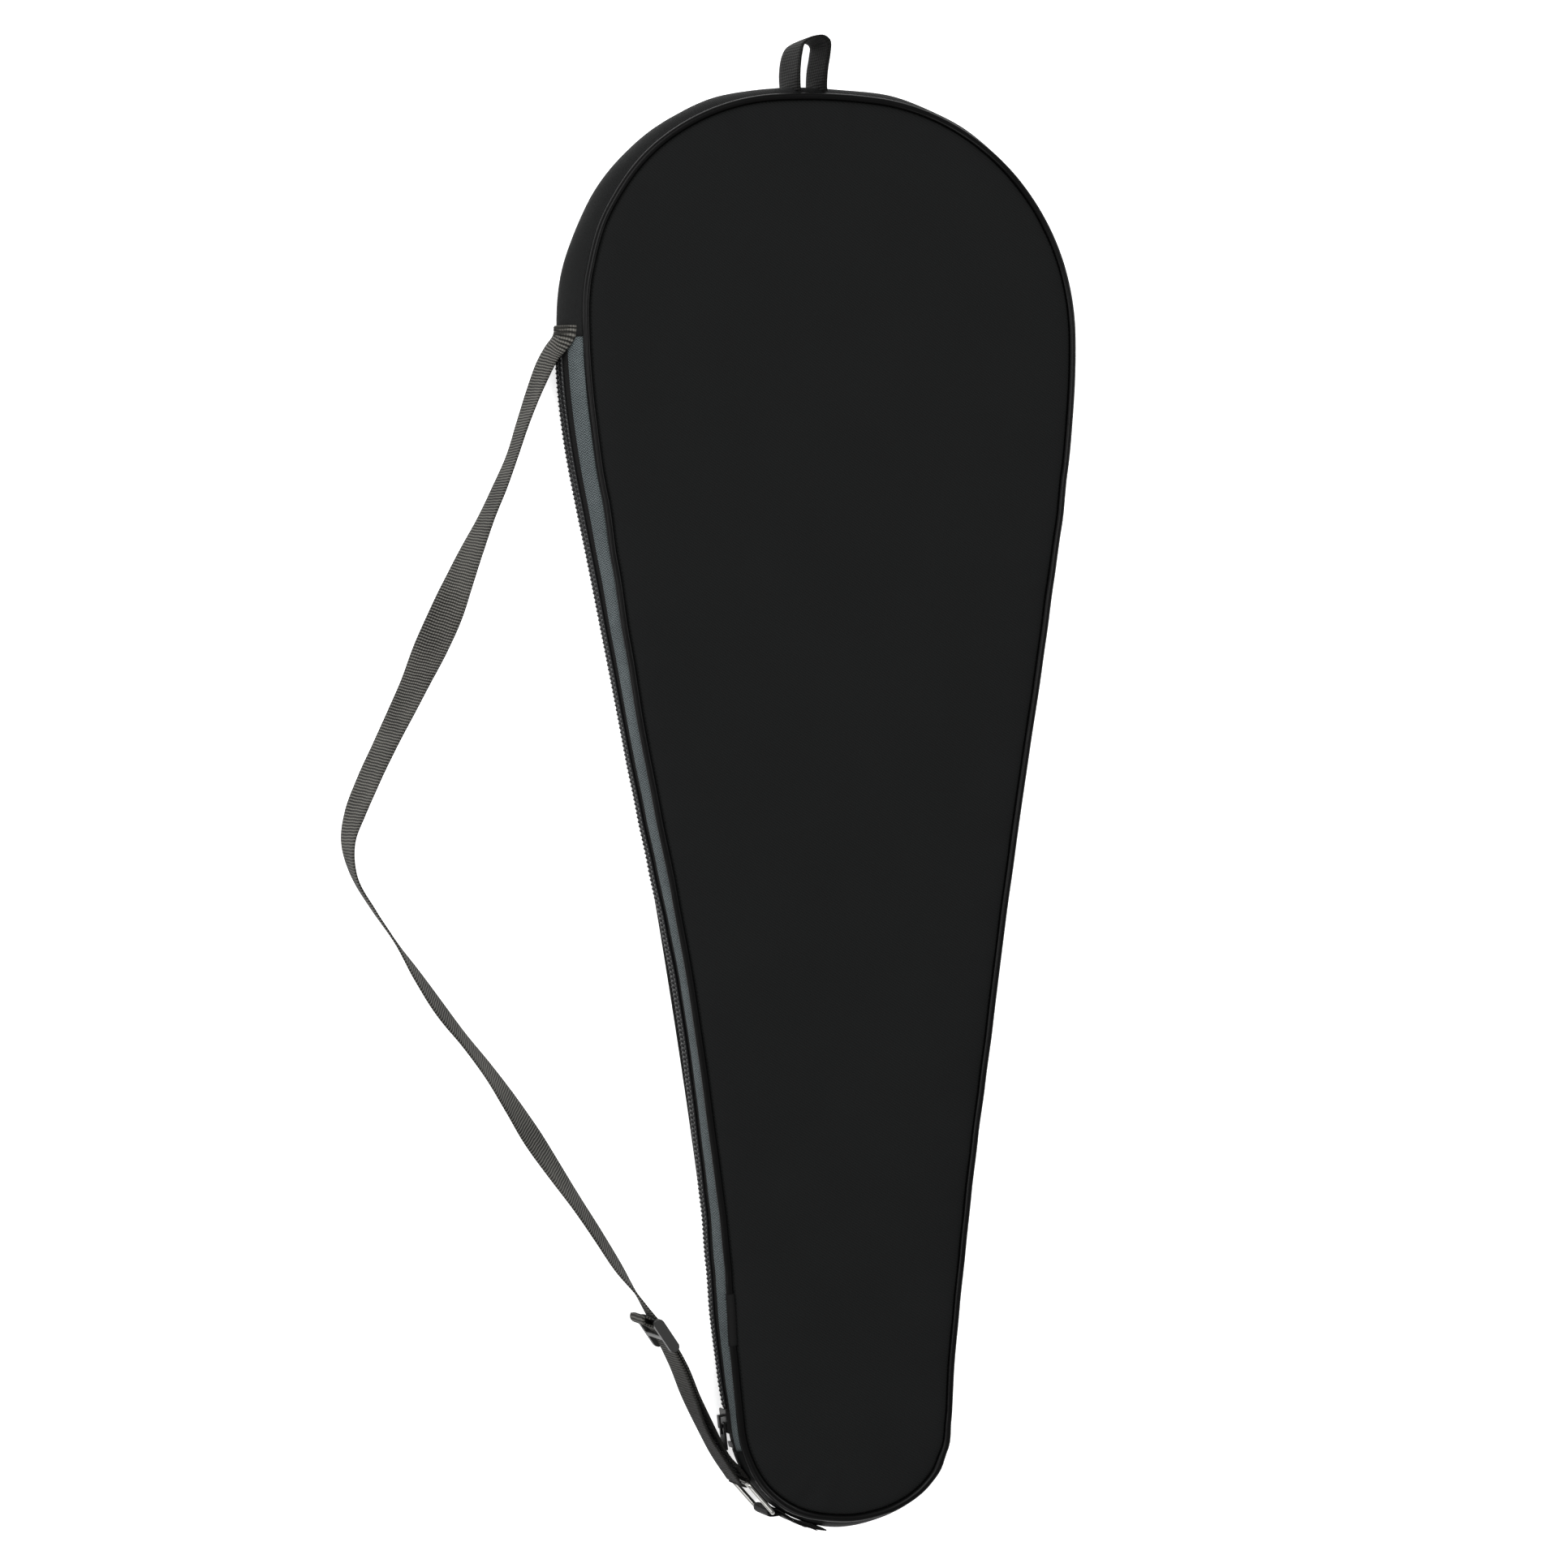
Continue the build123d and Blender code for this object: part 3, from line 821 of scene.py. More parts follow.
@dataclass
class Panel:
    """One padded panel: a crowned cover over foam, pulled in at its seam."""

    side: Side
    step: float = 2.4
    inner_height: float = 27.05
    inner_inset: float = 2.2
    soft_from: float = 2.1
    rings: tuple[tuple[float, float], ...] = (
        (1.75, 28.6),
        (2.0, 29.7),
        (2.6, 30.55),
        (3.6, 31.1),
        (5.2, 31.55),
        (7.5, 31.95),
        (10.5, 32.3),
        (15.0, 32.65),
        (21.0, 32.95),
        (29.0, 33.2),
        (39.0, 33.4),
    )
    flat_rings: tuple[tuple[float, float], ...] = (
        (1.75, 28.9),
        (2.3, 30.2),
        (3.2, 31.0),
        (4.6, 31.45),
        (7.0, 31.7),
        (10.0, 31.85),
        (15.0, 31.93),
        (22.0, 31.97),
        (39.0, 32.0),
    )
    inner_shares: tuple[float, ...] = (0.8, 0.6, 0.4, 0.2, 0.0)
    crown: float = 33.7
    pucker: float = 0.52
    pucker_size: float = 11.0
    pucker_reach: float = 10.0
    sway: float = 0.35
    stitch_pitch: float = 2.1
    stitch_inset: float = 2.6
    stitch_height: float = 30.55
    stitch: tuple[float, float, float] = (0.7, 0.22, 0.24)
    weld: float = 0.02

    def _heart(self, place: Vector) -> Vector:
        """The point of the panel's middle line that a seam point's threads run to."""
        return Vector((0, min(max(place.y, SEAM.foot_y), SEAM.head_y - 5), 0))

    def _pull(self, run: float, inset: float, place: Vector) -> float:
        """How far the seam's stitches pull the cover down at a place."""
        near = math.exp(-(((inset - 7.0) / self.pucker_reach) ** 2))
        fold = wave(run, self.pucker_size, 3.7 * self.side.value)
        slow = wave(run, 60.0, 9.1)
        depth = self.pucker * (0.7 + 0.6 * slow)
        return near * depth * fold + self.sway * ripple(place, 85.0, 2.0) * min(1.0, inset / 30.0)

    def _ring(
        self, runs: Sequence[float], inset: float | None, share: float, height: float, soft: bool
    ) -> list[Vector]:
        """One ring of the cover, by inset from the seam or by share of the way to the middle."""
        out = []
        for run in runs:
            place, _ = SEAM.at(run)
            heart = self._heart(place)
            reach = (place - heart).length
            away = inset if inset is not None else self.rings[-1][0]
            part = 1 - away / reach
            if inset is None:
                part *= share
            spot = heart + (place - heart) * part
            lift = self._pull(run, reach * (1 - part), spot) if soft else 0.0
            top = height + lift
            if self.side is Side.BACK:
                top = min(DEPTH, top)
            spot.z = MIDDLE + self.side.value * (top - MIDDLE)
            out.append(spot)
        return out

    def build(self) -> bpy.types.Object:
        """Grow the cover from its inner face's middle, over the seam, to its outer face's middle."""
        label = self.side.label
        loft = Loft(f"{label}_cover")
        runs = SEAM.runs(0, 2 * SEAM.half, self.step)[:-1]
        front = self.side is Side.FRONT
        shape, crown = (self.rings, self.crown) if front else (self.flat_rings, DEPTH)
        edge = shape[-1][1]
        for share in reversed(self.inner_shares):
            loft.ring(self._ring(runs, None, share, self.inner_height, False), 0)
        loft.ring(self._ring(runs, self.inner_inset, 1, self.inner_height, False), 0)
        for inset, height in shape:
            loft.ring(self._ring(runs, inset, 1, height, inset > self.soft_from), 0)
        for share in self.inner_shares:
            rise = edge + (crown - edge) * (1 - share**2)
            loft.ring(self._ring(runs, None, share, rise, True), 0)
        replaced = (f"{label}_panel", f"{label}_foam")
        made = loft.piece(COVER, f"{label}_panel", *replaced, merge=self.weld)
        return made

    def stitches(self) -> bpy.types.Object:
        """The row of short stitches just inside the seam."""
        row = Stitches(f"{self.side.label}_seam_stitches", BLACK_THREAD)
        for run in SEAM.runs(0, 2 * SEAM.half, self.stitch_pitch)[:-1]:
            _, out = SEAM.at(run)
            spot = self._ring([run], self.stitch_inset, 1, self.stitch_height, True)[0]
            row.add(spot, (UP.cross(out), out, UP), self.stitch)
        return row.piece()

    def lining(self) -> bpy.types.Object:
        """The thin cloth that closes the foam in on the racket's side."""
        loft = Loft(f"{self.side.label}_lining_cloth")
        runs = SEAM.runs(0, 2 * SEAM.half, 6.0)[:-1]
        inset, low, high, roll = 1.4, 26.4, 26.97, 0.02
        for share in (0.0, 0.5, 1.0):
            loft.ring(self._ring(runs, None, share, low, False), 0)
        for height in (low + roll, high - roll):
            loft.ring(self._ring(runs, inset, 1, height, False), 0)
        for share in (1.0, 0.5, 0.0):
            loft.ring(self._ring(runs, None, share, high, False), 0)
        return loft.piece(LINING, "lining", f"{self.side.label}_lining", merge=self.weld)


@dataclass
class Piping:
    """Rolled piping round one seam, its joining sleeve, and the binding inside the seam."""

    side: Side
    radius: float = 1.8
    sides: int = 12
    step: float = 3.0
    sleeve_top: float = -241.0
    sleeve_bottom: float = -267.0
    sleeve_radius: float = 2.17
    sleeve_sides: int = 14
    lip: float = 0.06
    waver: float = 0.12

    @property
    def height(self) -> float:
        """The height of the piping's middle."""
        return MIDDLE + self.side.value * (MIDDLE - SLEEVE_RADIUS)

    def _tube(self, run: float, radius: float, sides: int) -> list[Vector]:
        """A ring of the tube at a distance round the seam."""
        place, out = SEAM.at(run)
        sway = self.waver * wave(run, 35.0, 5.0 * self.side.value)
        middle = place + UP * (self.height + sway * (self.side is Side.FRONT))
        return circle(middle, out * radius, UP * radius, sides)

    def build(self) -> bpy.types.Object:
        """The rolled cord, all the way round."""
        loft = Loft(f"{self.side.label}_rolled_piping")
        for run in SEAM.runs(0, 2 * SEAM.half, self.step)[:-1]:
            loft.ring(self._tube(run, self.radius, self.sides), run)
        loft.join_ends()
        return loft.piece(PIPING, "piping", f"{self.side.label}_piping")

    def sleeve(self) -> bpy.types.Object:
        """The shrunk sleeve over the join, slightly uneven, with rolled ends."""
        loft = Loft(f"{self.side.label}_join_sleeve")
        runs = SEAM.runs(SEAM.left_at(self.sleeve_bottom), SEAM.left_at(self.sleeve_top), 1.3)
        first, last = (
            self._tube(run, self.radius + self.lip, self.sleeve_sides) for run in (runs[0], runs[-1])
        )
        loft.ring(first, 0)
        for run in runs:
            uneven = 0.03 * wave(run, 2.5, 1.3) - 0.04
            loft.ring(self._tube(run, self.sleeve_radius + uneven, self.sleeve_sides), run)
        loft.ring(last, 0)
        loft.join_ends()
        return loft.piece(SLEEVE, "sleeve", f"{self.side.label}_piping_sleeve")

    def binding(self) -> bpy.types.Object:
        """The folded tape over the seam's raw edges, inside."""
        loft = Loft(f"{self.side.label}_binding_tape")
        inner, outer, low, high = 4.3, 1.5, 25.5, 26.3
        section = (
            (outer, low + 0.2),
            (outer, high - 0.2),
            (outer + 0.3, high),
            (inner - 0.3, high),
            (inner, high - 0.3),
            (inner, low + 0.3),
            (inner - 0.3, low),
            (outer + 0.3, low),
        )
        flip = self.side.value
        for run in SEAM.runs(0, 2 * SEAM.half, 5.0)[:-1]:
            place, out = SEAM.at(run)
            ring = [place - out * d + UP * (MIDDLE + flip * (h - MIDDLE)) for d, h in section]
            loft.ring(ring, run)
        loft.join_ends()
        return loft.piece(BINDING, "binding", f"{self.side.label}_seam_binding")


# ---------------------------------------------------------------- gusset and zip


@dataclass
class SideWall:
    """The bowed gusset, its lining, and the zip's tapes, coil rows, cords and stitches."""

    zip_top: float = 236.0
    zip_bottom: float = -320.0
    cloth: float = 0.8
    lining_cloth: float = 0.5
    lining_gap: float = 0.45
    tuck: float = 0.9
    slack: float = 0.45
    ease: float = 15.0
    set_back: float = 0.5
    tape: float = 0.8
    tape_slack: float = 0.12
    chain_gap: float = 0.55
    row_offset: float = 1.78
    lift: float = 0.02
    pitch: float = 2.28
    turn_height: float = 0.62
    turn_width: float = 1.32
    turn_points: int = 12
    wire: float = 0.42
    wire_sides: int = 5
    core_width: float = 1.5
    core_height: float = 0.8
    core_sides: int = 10
    thread_rows: tuple[tuple[float, float], ...] = ((1.35, 3.0), (1.8, 0.95))
    stitch: tuple[float, float, float] = (0.42, 0.3, 0.4)

    @property
    def top_run(self) -> float:
        """The zip's head end, clockwise from the crown."""
        return SEAM.left_at(self.zip_top)

    @property
    def bottom_run(self) -> float:
        """The zip's foot end, clockwise from the crown."""
        return SEAM.left_at(self.zip_bottom)

    def _strip(
        self, run: float, low: float, high: float, out_by: float, thick: float, slack: float, parts: int
    ) -> list[Vector]:
        """A ring of a bowed strip between two heights."""
        place, out = SEAM.at(run)
        inner_side, outer_side = [], []
        for k in range(parts + 1):
            h = low + (high - low) * k / parts
            belly = math.sin(math.pi * (h - SEAM_EDGE) / (DEPTH - 2 * SEAM_EDGE))
            face = bow(h) - out_by + slack * wave(run, 26.0, 4.4, h * 1.5) * belly
            outer_side.append(place + out * face + UP * h)
            inner_side.append(place + out * (face - thick) + UP * h)
        return outer_side + inner_side[::-1]

    def gusset(self) -> bpy.types.Object:
        """The band of cloth from the zip's head end, over the crown, to its foot end."""
        loft = Loft("gusset_cloth")
        start, end = self.top_run - 2 * SEAM.half, self.bottom_run
        low, high = SEAM_EDGE - self.tuck, DEPTH - SEAM_EDGE + self.tuck
        for run in SEAM.runs(start, end, 3.0):
            slack = self.slack * min(1.0, (run - start) / self.ease, (end - run) / self.ease)
            loft.ring(self._strip(run, low, high, 0.0, self.cloth, slack, 14), run)
        loft.cap()
        return loft.piece(SIDE_WALL, "gusset", "gusset_band")

    def lining(self) -> bpy.types.Object:
        """The gusset's thin lining."""
        loft = Loft("gusset_lining_cloth")
        start, high = self.top_run - 2 * SEAM.half, DEPTH - SEAM_EDGE
        out_by = self.cloth + self.lining_gap
        for run in SEAM.runs(start, self.bottom_run, 7.0):
            loft.ring(self._strip(run, SEAM_EDGE, high, out_by, self.lining_cloth, 0, 8), run)
        loft.cap()
        return loft.piece(LINING, "lining", "gusset_lining")

    def tapes(self) -> list[bpy.types.Object]:
        """Both herringbone tapes."""
        made = []
        outer, inner = DEPTH - SEAM_EDGE + self.tuck, MIDDLE + self.chain_gap / 2
        for side in Side:
            loft = Loft(f"{side.label}_zip_tape")
            for run in SEAM.runs(self.bottom_run, self.top_run, 2.5):
                ring = self._strip(run, outer, inner, self.set_back, self.tape, self.tape_slack, 10)
                if side is Side.BACK:
                    ring = [Vector((p.x, p.y, DEPTH - p.z)) for p in ring]
                loft.ring(ring, run)
            loft.cap()
            made.append(loft.piece(TAPE, "zip_tape", f"zip_tape_{side.label}"))
        return made

    def _chain(self, run: float, out_by: float, height: float) -> Vector:
        """A place over the tapes' middle."""
        place, out = SEAM.at(run)
        return place + out * (BULGE - self.set_back + out_by) + UP * height

    def _span(self, trim: float) -> tuple[float, float]:
        """Where the rows begin and end round the seam, with a little cut off each end."""
        return SEAM.left_at(SEAM.foot_y + 4 + trim), SEAM.left_at(self.zip_top - 3 - trim)

    def _spiral(self, side: Side, first: float, last: float) -> bpy.types.Object:
        """One row of coil as a long spiral, the back one half a turn out of step."""
        loft = Loft(f"{side.label}_coil_row")
        count = round((last - first) / self.pitch) * self.turn_points
        middle = MIDDLE + side.value * self.row_offset
        points = []
        for k in range(count + 1):
            angle = TURN * k / self.turn_points + (math.pi if side is Side.BACK else 0.0)
            rise = self.turn_height * (1 + math.sin(angle)) + self.wire + self.lift
            sway = self.turn_width * math.cos(angle)
            points.append(self._chain(first + (last - first) * k / count, rise, middle + sway))
        for i, point in enumerate(points):
            ahead = (points[min(i + 1, count)] - points[max(i - 1, 0)]).normalized()
            across = ahead.cross(UP).normalized()
            rise = across.cross(ahead)
            loft.ring(circle(point, across * self.wire, rise * self.wire, self.wire_sides), i)
        loft.cap()
        return loft.piece(COIL, "coil", f"zip_coil_{side.label}")

    def _cord(self, side: Side, first: float, last: float) -> bpy.types.Object:
        """The cord inside one row of coil."""
        loft = Loft(f"{side.label}_coil_cord")
        middle = MIDDLE + side.value * self.row_offset
        for run in SEAM.runs(first, last, 2.5):
            _, out = SEAM.at(run)
            heart = self._chain(run, self.core_height + self.lift, middle)
            width, height = UP * self.core_width, out * self.core_height
            loft.ring(circle(heart, width, height, self.core_sides), run)
        loft.cap()
        return loft.piece(COIL, "coil")

    def coils(self) -> list[bpy.types.Object]:
        """Both rows of coil, each over its cord."""
        span = self._span(0.0)
        return [make(side, *span) for side in Side for make in (self._spiral, self._cord)]

    def stitches(self) -> list[bpy.types.Object]:
        """The thread that holds each row to its tape: two short stitches over each turn."""
        made = []
        first, last = self._span(1.0)
        for side in Side:
            row = Stitches(f"{side.label}_coil_stitches", COIL_THREAD)
            for k in range(2 * round((last - first) / self.pitch)):
                run = first + (k / 2 + 0.5) * self.pitch
                _, out = SEAM.at(run)
                out_by, aside = self.thread_rows[k % 2]
                spot = self._chain(run, out_by, MIDDLE + side.value * aside)
                row.add(spot, (UP.cross(out), out, UP), self.stitch)
            made.append(row.piece())
        return made


@lru_cache(maxsize=None)
def half_width(y: int) -> float:
    """Half the case's width at a place along Y."""
    held = min(max(y, SEAM.foot_y - 52.0), SEAM.head_y + 100.0)
    return abs(SEAM.at(SEAM.left_at(held))[0].x)


@dataclass(frozen=True)
class Lie:
    """How the empty, soft case settles: each row is a place along Y and a shift in X."""

    right_side: tuple[tuple[float, float], ...] = (
        (-366, 0.5), (-355, 3.5), (-348, 4.0), (-340, 3.6), (-328, 1.5), (-312, -1.0), (-283, -1.6),
        (-255, -1.1), (-227, -0.4), (-198, 0.0), (-170, 0.8), (-142, 1.7), (-113, 2.5), (-57, 2.9),
        (-28, 3.3), (28, 3.7), (57, 4.0), (85, 3.7), (113, 2.9), (142, 2.3), (170, 0.5), (199, -0.1),
        (227, 0.0),
    )
    front_seam: tuple[tuple[float, float], ...] = (
        (-366, 0.0), (-360, -4.0), (-352, -6.5), (-343, -6.0), (-322, -5.0), (-304, -4.8), (-271, -4.4),
        (-240, -2.6), (-227, -1.7), (-198, -0.9), (-162, -0.7), (-125, -0.2), (-85, 0.0), (-40, -0.8),
        (0, -2.0), (41, -2.4), (85, -1.0), (123, 1.0), (158, 3.2), (194, 4.3), (238, 4.2), (267, 3.3),
        (300, 1.6), (335, 0.0),
    )
    wall: tuple[tuple[float, float], ...] = (
        (-305, 0.0), (-283, -1.2), (-255, -1.5), (-227, 0.0), (-198, 1.7), (-170, 2.5), (-142, 3.3),
        (-113, 4.0), (-85, 4.0), (-57, 2.9), (-28, 1.2), (0, 0.0), (28, -0.7), (85, -0.7), (142, -0.3),
        (170, 0.0),
    )
    reach: float = 13.8

    @staticmethod
    def _read(rows: Sequence[tuple[float, float]], y: float) -> float:
        """The shift at a place along Y, eased between the rows."""
        if not rows[0][0] < y < rows[-1][0]:
            return rows[0][1] if y <= rows[0][0] else rows[-1][1]
        k = next(i for i, row in enumerate(rows) if row[0] >= y)
        (low, a), (high, b) = rows[k - 1], rows[k]
        t = (y - low) / (high - low)
        return a + (b - a) * t * t * (3 - 2 * t)

    def settle(self, piece: bpy.types.Object) -> None:
        """Shift a soft piece's points to where they lie."""
        for vertex in piece.data.vertices:
            x, y, z = vertex.co / MM
            share = min(1.0, abs(x) / half_width(round(y))) ** 2
            if x > 0:
                shift = self._read(self.right_side, y)
            else:
                up = min(1.0, abs(z - MIDDLE) / self.reach)
                shift = self._read(self.wall, y) * (1 - up)
                if z > MIDDLE:
                    shift += self._read(self.front_seam, y) * up
            vertex.co.x += shift * share * MM


# ---------------------------------------------------------------- webbing


@dataclass
class Webbing:
    """A flat woven strip along a way in space. Each stop is X, Y, Z, roll in degrees and curl."""

    name: str
    stops: Sequence[tuple[float, ...]]
    finish: Finish
    width: float = 20.0
    thickness: float = 1.2
    step: float = 2.0
    parts: int = 8
    flutter: float = 0.0
    selvedge: float = 0.72

    def build(
        self, slot: str, replaced: str, body: Body | None = Body.CASE
    ) -> bpy.types.Object:
        """Grow the strip along its way.

        Args:
            slot: its slot's name; not used.
            replaced: the CAD node that it stands in for.
            body: the rigid body that it rides on, or None to leave it unattached.

        Returns:
            The strip.
        """
        loft = Loft(self.name)
        places = smooth_way(self.stops, self.step)
        half = self.width / 2
        run = 0.0
        for i, here in enumerate(places):
            before, after = places[max(0, i - 1)], places[min(len(places) - 1, i + 1)]
            ahead = (Vector(after[:3]) - Vector(before[:3])).normalized()
            flat = Vector((ahead.y, -ahead.x, 0)).normalized()
            roll = math.radians(here[3])
            across = flat * math.cos(roll) + UP * math.sin(roll)
            across = (across - ahead * across.dot(ahead)).normalized()
            face = ahead.cross(across)
            top, low = [], []
            for k in range(self.parts + 1):
                share = 2 * k / self.parts - 1
                thick = self.thickness / 2 * (self.selvedge if abs(share) > 0.99 else 1.0)
                dip = here[4] * share**2 + self.flutter * wave(run, 18.0, 6.6, share * 12)
                spot = Vector(here[:3]) + across * (half * share) + face * dip
                top.append(spot + face * thick)
                low.append(spot - face * thick)
            loft.ring(top + low[::-1], run)
            run += self.step
        loft.cap()
        return loft.piece(self.finish, slot, replaced, body=body)


@dataclass
class Strap:
    """The carrying strap: the long strip, its returning end, the ring's tab and the tacks; the ring and
    adjuster are CAD parts.
    """

    ring_angle: float = 40.7
    ring_reach: float = 64.0
    bar_spacing: float = 20.5
    eye: float = 2.15
    height: float = 14.5
    wall_radius: float = 61.25
    tab_end: float = 77.0
    tack_radius: float = 63.15
    doubled_stops: int = 5
    adjuster_y: float = -259.7
    way: tuple[tuple[float, ...], ...] = (
        (-140.7, 242.0, 16.4, 99, -5.9),
        (-140.8, 238.8, 16.2, 99, -5.6),
        (-141.6, 235.0, 15.2, 98, -3.6),
        (-143.3, 230.0, 13.4, 99, -1.4),
        (-145.9, 223.6, 12.2, 99, -0.4),
        (-150.8, 210.7, 11.0, 95, 0.2),
        (-157.1, 194.6, 10.7, 91, 0.2),
        (-162.9, 178.5, 10.7, 89, 0.2),
        (-169.9, 162.4, 10.7, 93, 0.2),
        (-177.4, 146.8, 10.7, 97, 0.2),
        (-185.0, 130.7, 10.3, 107, 0.3),
        (-192.0, 114.7, 9.6, 118, 0.4),
        (-198.7, 98.7, 8.5, 129, 0.5),
        (-206.6, 82.7, 8.5, 128, 0.5),
        (-214.8, 66.8, 9.6, 117, 0.3),
        (-223.2, 51.0, 10.0, 112, 0.2),
        (-231.7, 35.2, 10.3, 108, 0.2),
        (-239.8, 19.4, 10.3, 107, 0.2),
        (-247.2, 2.6, 10.4, 103, 0.2),
        (-250.9, -12.0, 10.7, 92, 0.3),
        (-248.3, -27.9, 10.2, 82, 0.0),
        (-239.1, -44.1, 9.7, 80, -0.2),
        (-228.2, -60.3, 9.8, 77, 0.0),
        (-218.0, -76.6, 10.5, 67, 0.0),
        (-206.9, -93.0, 10.4, 62, 0.0),
        (-194.3, -109.4, 10.0, 65, 0.0),
        (-181.6, -126.0, 9.3, 62, -0.2),
        (-170.4, -142.5, 8.6, 55, -0.2),
        (-159.6, -159.1, 8.1, 50, -0.2),
        (-148.7, -175.8, 8.6, 54, -0.2),
        (-137.7, -192.5, 9.2, 61, -0.2),
        (-126.8, -209.3, 9.7, 63, -0.2),
        (-116.2, -226.1, 10.4, 66, 0.0),
        (-105.6, -243.0, 13.2, 80, 0.0),
        (-94.9, -259.7, 14.5, 90, 0.0),
        (-85.2, -276.0, 14.5, 88, 0.0),
        (-78.6, -292.0, 13.8, 88, 0.0),
        (-71.6, -309.0, 14.2, 93, 0.0),
        (-63.8, -323.0, 14.5, 90, 0.0),
    )

    @staticmethod
    def _ray(angle: float) -> Vector:
        """The level direction at an angle in degrees from +X."""
        turn = math.radians(angle)
        return Vector((math.cos(turn), math.sin(turn), 0))

    @property
    def foot(self) -> Vector:
        """The middle of the round foot, at the ring's height."""
        return Vector((0, SEAM.foot_y, self.height))

    def _bars(self) -> tuple[Vector, Vector, Vector]:
        """The ring's upper and lower bars, and the direction from one to the other."""
        out = self._ray(180 + self.ring_angle)
        along = Vector((-out.y, out.x, 0))
        middle, half = self.foot + out * self.ring_reach, along * (self.bar_spacing / 2)
        return middle - half, middle + half, along

    def _approach(self) -> tuple[Vector, Vector, Vector, Vector]:
        """The ring's upper bar, the way's last stop, the direction between them and its side."""
        upper, _, _ = self._bars()
        last = Vector(self.way[-1][:3])
        go = (upper - last).normalized()
        return upper, last, go, Vector((go.y, -go.x, 0)).normalized()

    def long_strip(self) -> bpy.types.Object:
        """From the gusset, over the floor and through the adjuster to an eye round the ring."""
        upper, last, go, away = self._approach()
        turns = [upper + side * self.eye for side in (-away, go, away)]
        wrap = [(*last.lerp(turns[0], share), 92.0, 0.0) for share in (0.45, 0.8)]
        wrap += [(*p, 90.0, 0.0) for p in turns]
        strip = Webbing("carrying_strap", (*self.way, *wrap), WEBBING, step=1.6, flutter=0.1)
        return strip.build("webbing", "shoulder_strap")

    def returning_end(self) -> bpy.types.Object:
        """The strap's end, from the ring back to the adjuster's middle bar and round it."""
        upper, _, go, away = self._approach()
        stops = [(*(upper + away * (self.eye + 0.1) - go * 1.2), 90.0, 0.0)]
        for x, y, z, roll, _ in reversed(self.way[-self.doubled_stops :]):
            gap = 1.8 + min(1.0, abs(y - self.adjuster_y) / 20)
            stops.append((x + away.x * gap, y + away.y * gap, z, roll, 0.0))
        tail = Vector(stops[-1][:3])
        up = Vector((-0.5514, 0.8342, 0))
        bulge = Vector((-up.y, up.x, 0))
        for k, b in ((6.0, 1.4), (12.0, 5.4), (14.6, 3.6), (11.5, 1.2)):
            stops.append((*(tail + up * k + bulge * b), 90.0, 0.0))
        strip = Webbing("returning_strap_end", stops, WEBBING, step=1.4, thickness=1.1)
        made = strip.build("webbing", "strap_return", body=None)
        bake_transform(made)
        return made

    def tab(self) -> bpy.types.Object:
        """The doubled dark webbing that is sewn to the foot and holds the ring's lower bar."""
        _, lower, along = self._bars()
        out = (lower - self.foot).normalized()
        inner, outer = self.wall_radius + 0.5, self.wall_radius + 1.45
        lead = math.degrees((self.bar_spacing / 2 + 3.0) / self.ring_reach)
        start, end = 180 + self.ring_angle + lead, 180 + self.tab_end
        inside = [(inner, end + (start - end) * k / 10) for k in range(11)]
        outside = [
            (outer - 0.5 * max(0.0, k - 6) / 4, start + (end + 1.5 - start) * k / 10)
            for k in range(1, 11)
        ]
        places = [self.foot + self._ray(angle) * radius for radius, angle in inside]
        places += [lower + ray * self.eye for ray in (-out, -along, out)]
        places += [self.foot + self._ray(angle) * radius for radius, angle in outside]
        stops = [(*place, 90.0, 0.0) for place in places]
        strip = Webbing("ring_tab_webbing", stops, DARK_WEBBING, step=1.3, thickness=0.85)
        return strip.build("tab_webbing", "ring_tab")

    def tacks(self) -> bpy.types.Object:
        """Four rows of dense zigzag stitches: two on the strap's sewn end, two on the tab."""
        row = Stitches("tack_stitches", GREY_THREAD)
        rows = [
            (Vector((-141.75, y, 16.3)), Vector((0, 1, 0)), Vector((-1, 0, 0)), 5.6)
            for y in (240.6, 238.0)
        ]
        for angle in (180 + 74.0, 180 + 68.0):
            out = self._ray(angle)
            middle = self.foot + out * self.tack_radius
            rows.append((middle, Vector((-out.y, out.x, 0)), out, 0.0))
        for middle, ahead, out, curl in rows:
            for k in range(30):
                share = (k - 14.5) / 15
                lean = 0.35 if k % 2 else -0.35
                spot = middle + UP * (8.6 * share) - out * (curl * (0.86 * share) ** 2)
                axis = (ahead + UP * lean).normalized()
                row.add(spot, (axis, out, axis.cross(out)), (1.15, 0.22, 0.3))
        return row.piece("bar_tacks")


@dataclass
class HangingLoop:
    """The short webbing loop at the head, leaning a little to the right."""

    stops: tuple[tuple[float, ...], ...] = (
        (-15.2, 361.6, 16.0, 85, 1.6),
        (-15.0, 365.0, 16.0, 84, 1.0),
        (-14.0, 373.0, 16.0, 83, 0.0),
        (-12.7, 381.0, 16.1, 84, 0.0),
        (-10.8, 385.6, 16.2, 87, 0.2),
        (-6.0, 388.5, 16.2, 90, 0.3),
        (0.2, 389.2, 16.2, 93, 0.3),
        (2.9, 386.8, 16.1, 96, 0.2),
        (2.5, 381.8, 16.0, 97, 0.0),
        (0.9, 373.0, 16.0, 97, 0.0),
        (-0.6, 365.0, 16.0, 96, -1.0),
        (-0.9, 361.6, 16.0, 95, -1.6),
    )

    def build(self) -> bpy.types.Object:
        """Bend the strip over."""
        strip = Webbing("hanging_loop_webbing", self.stops, DARK_WEBBING, width=21.6, step=1.0)
        return strip.build("tab_webbing", "hanging_loop")


# ---------------------------------------------------------------- hard parts, light and camera


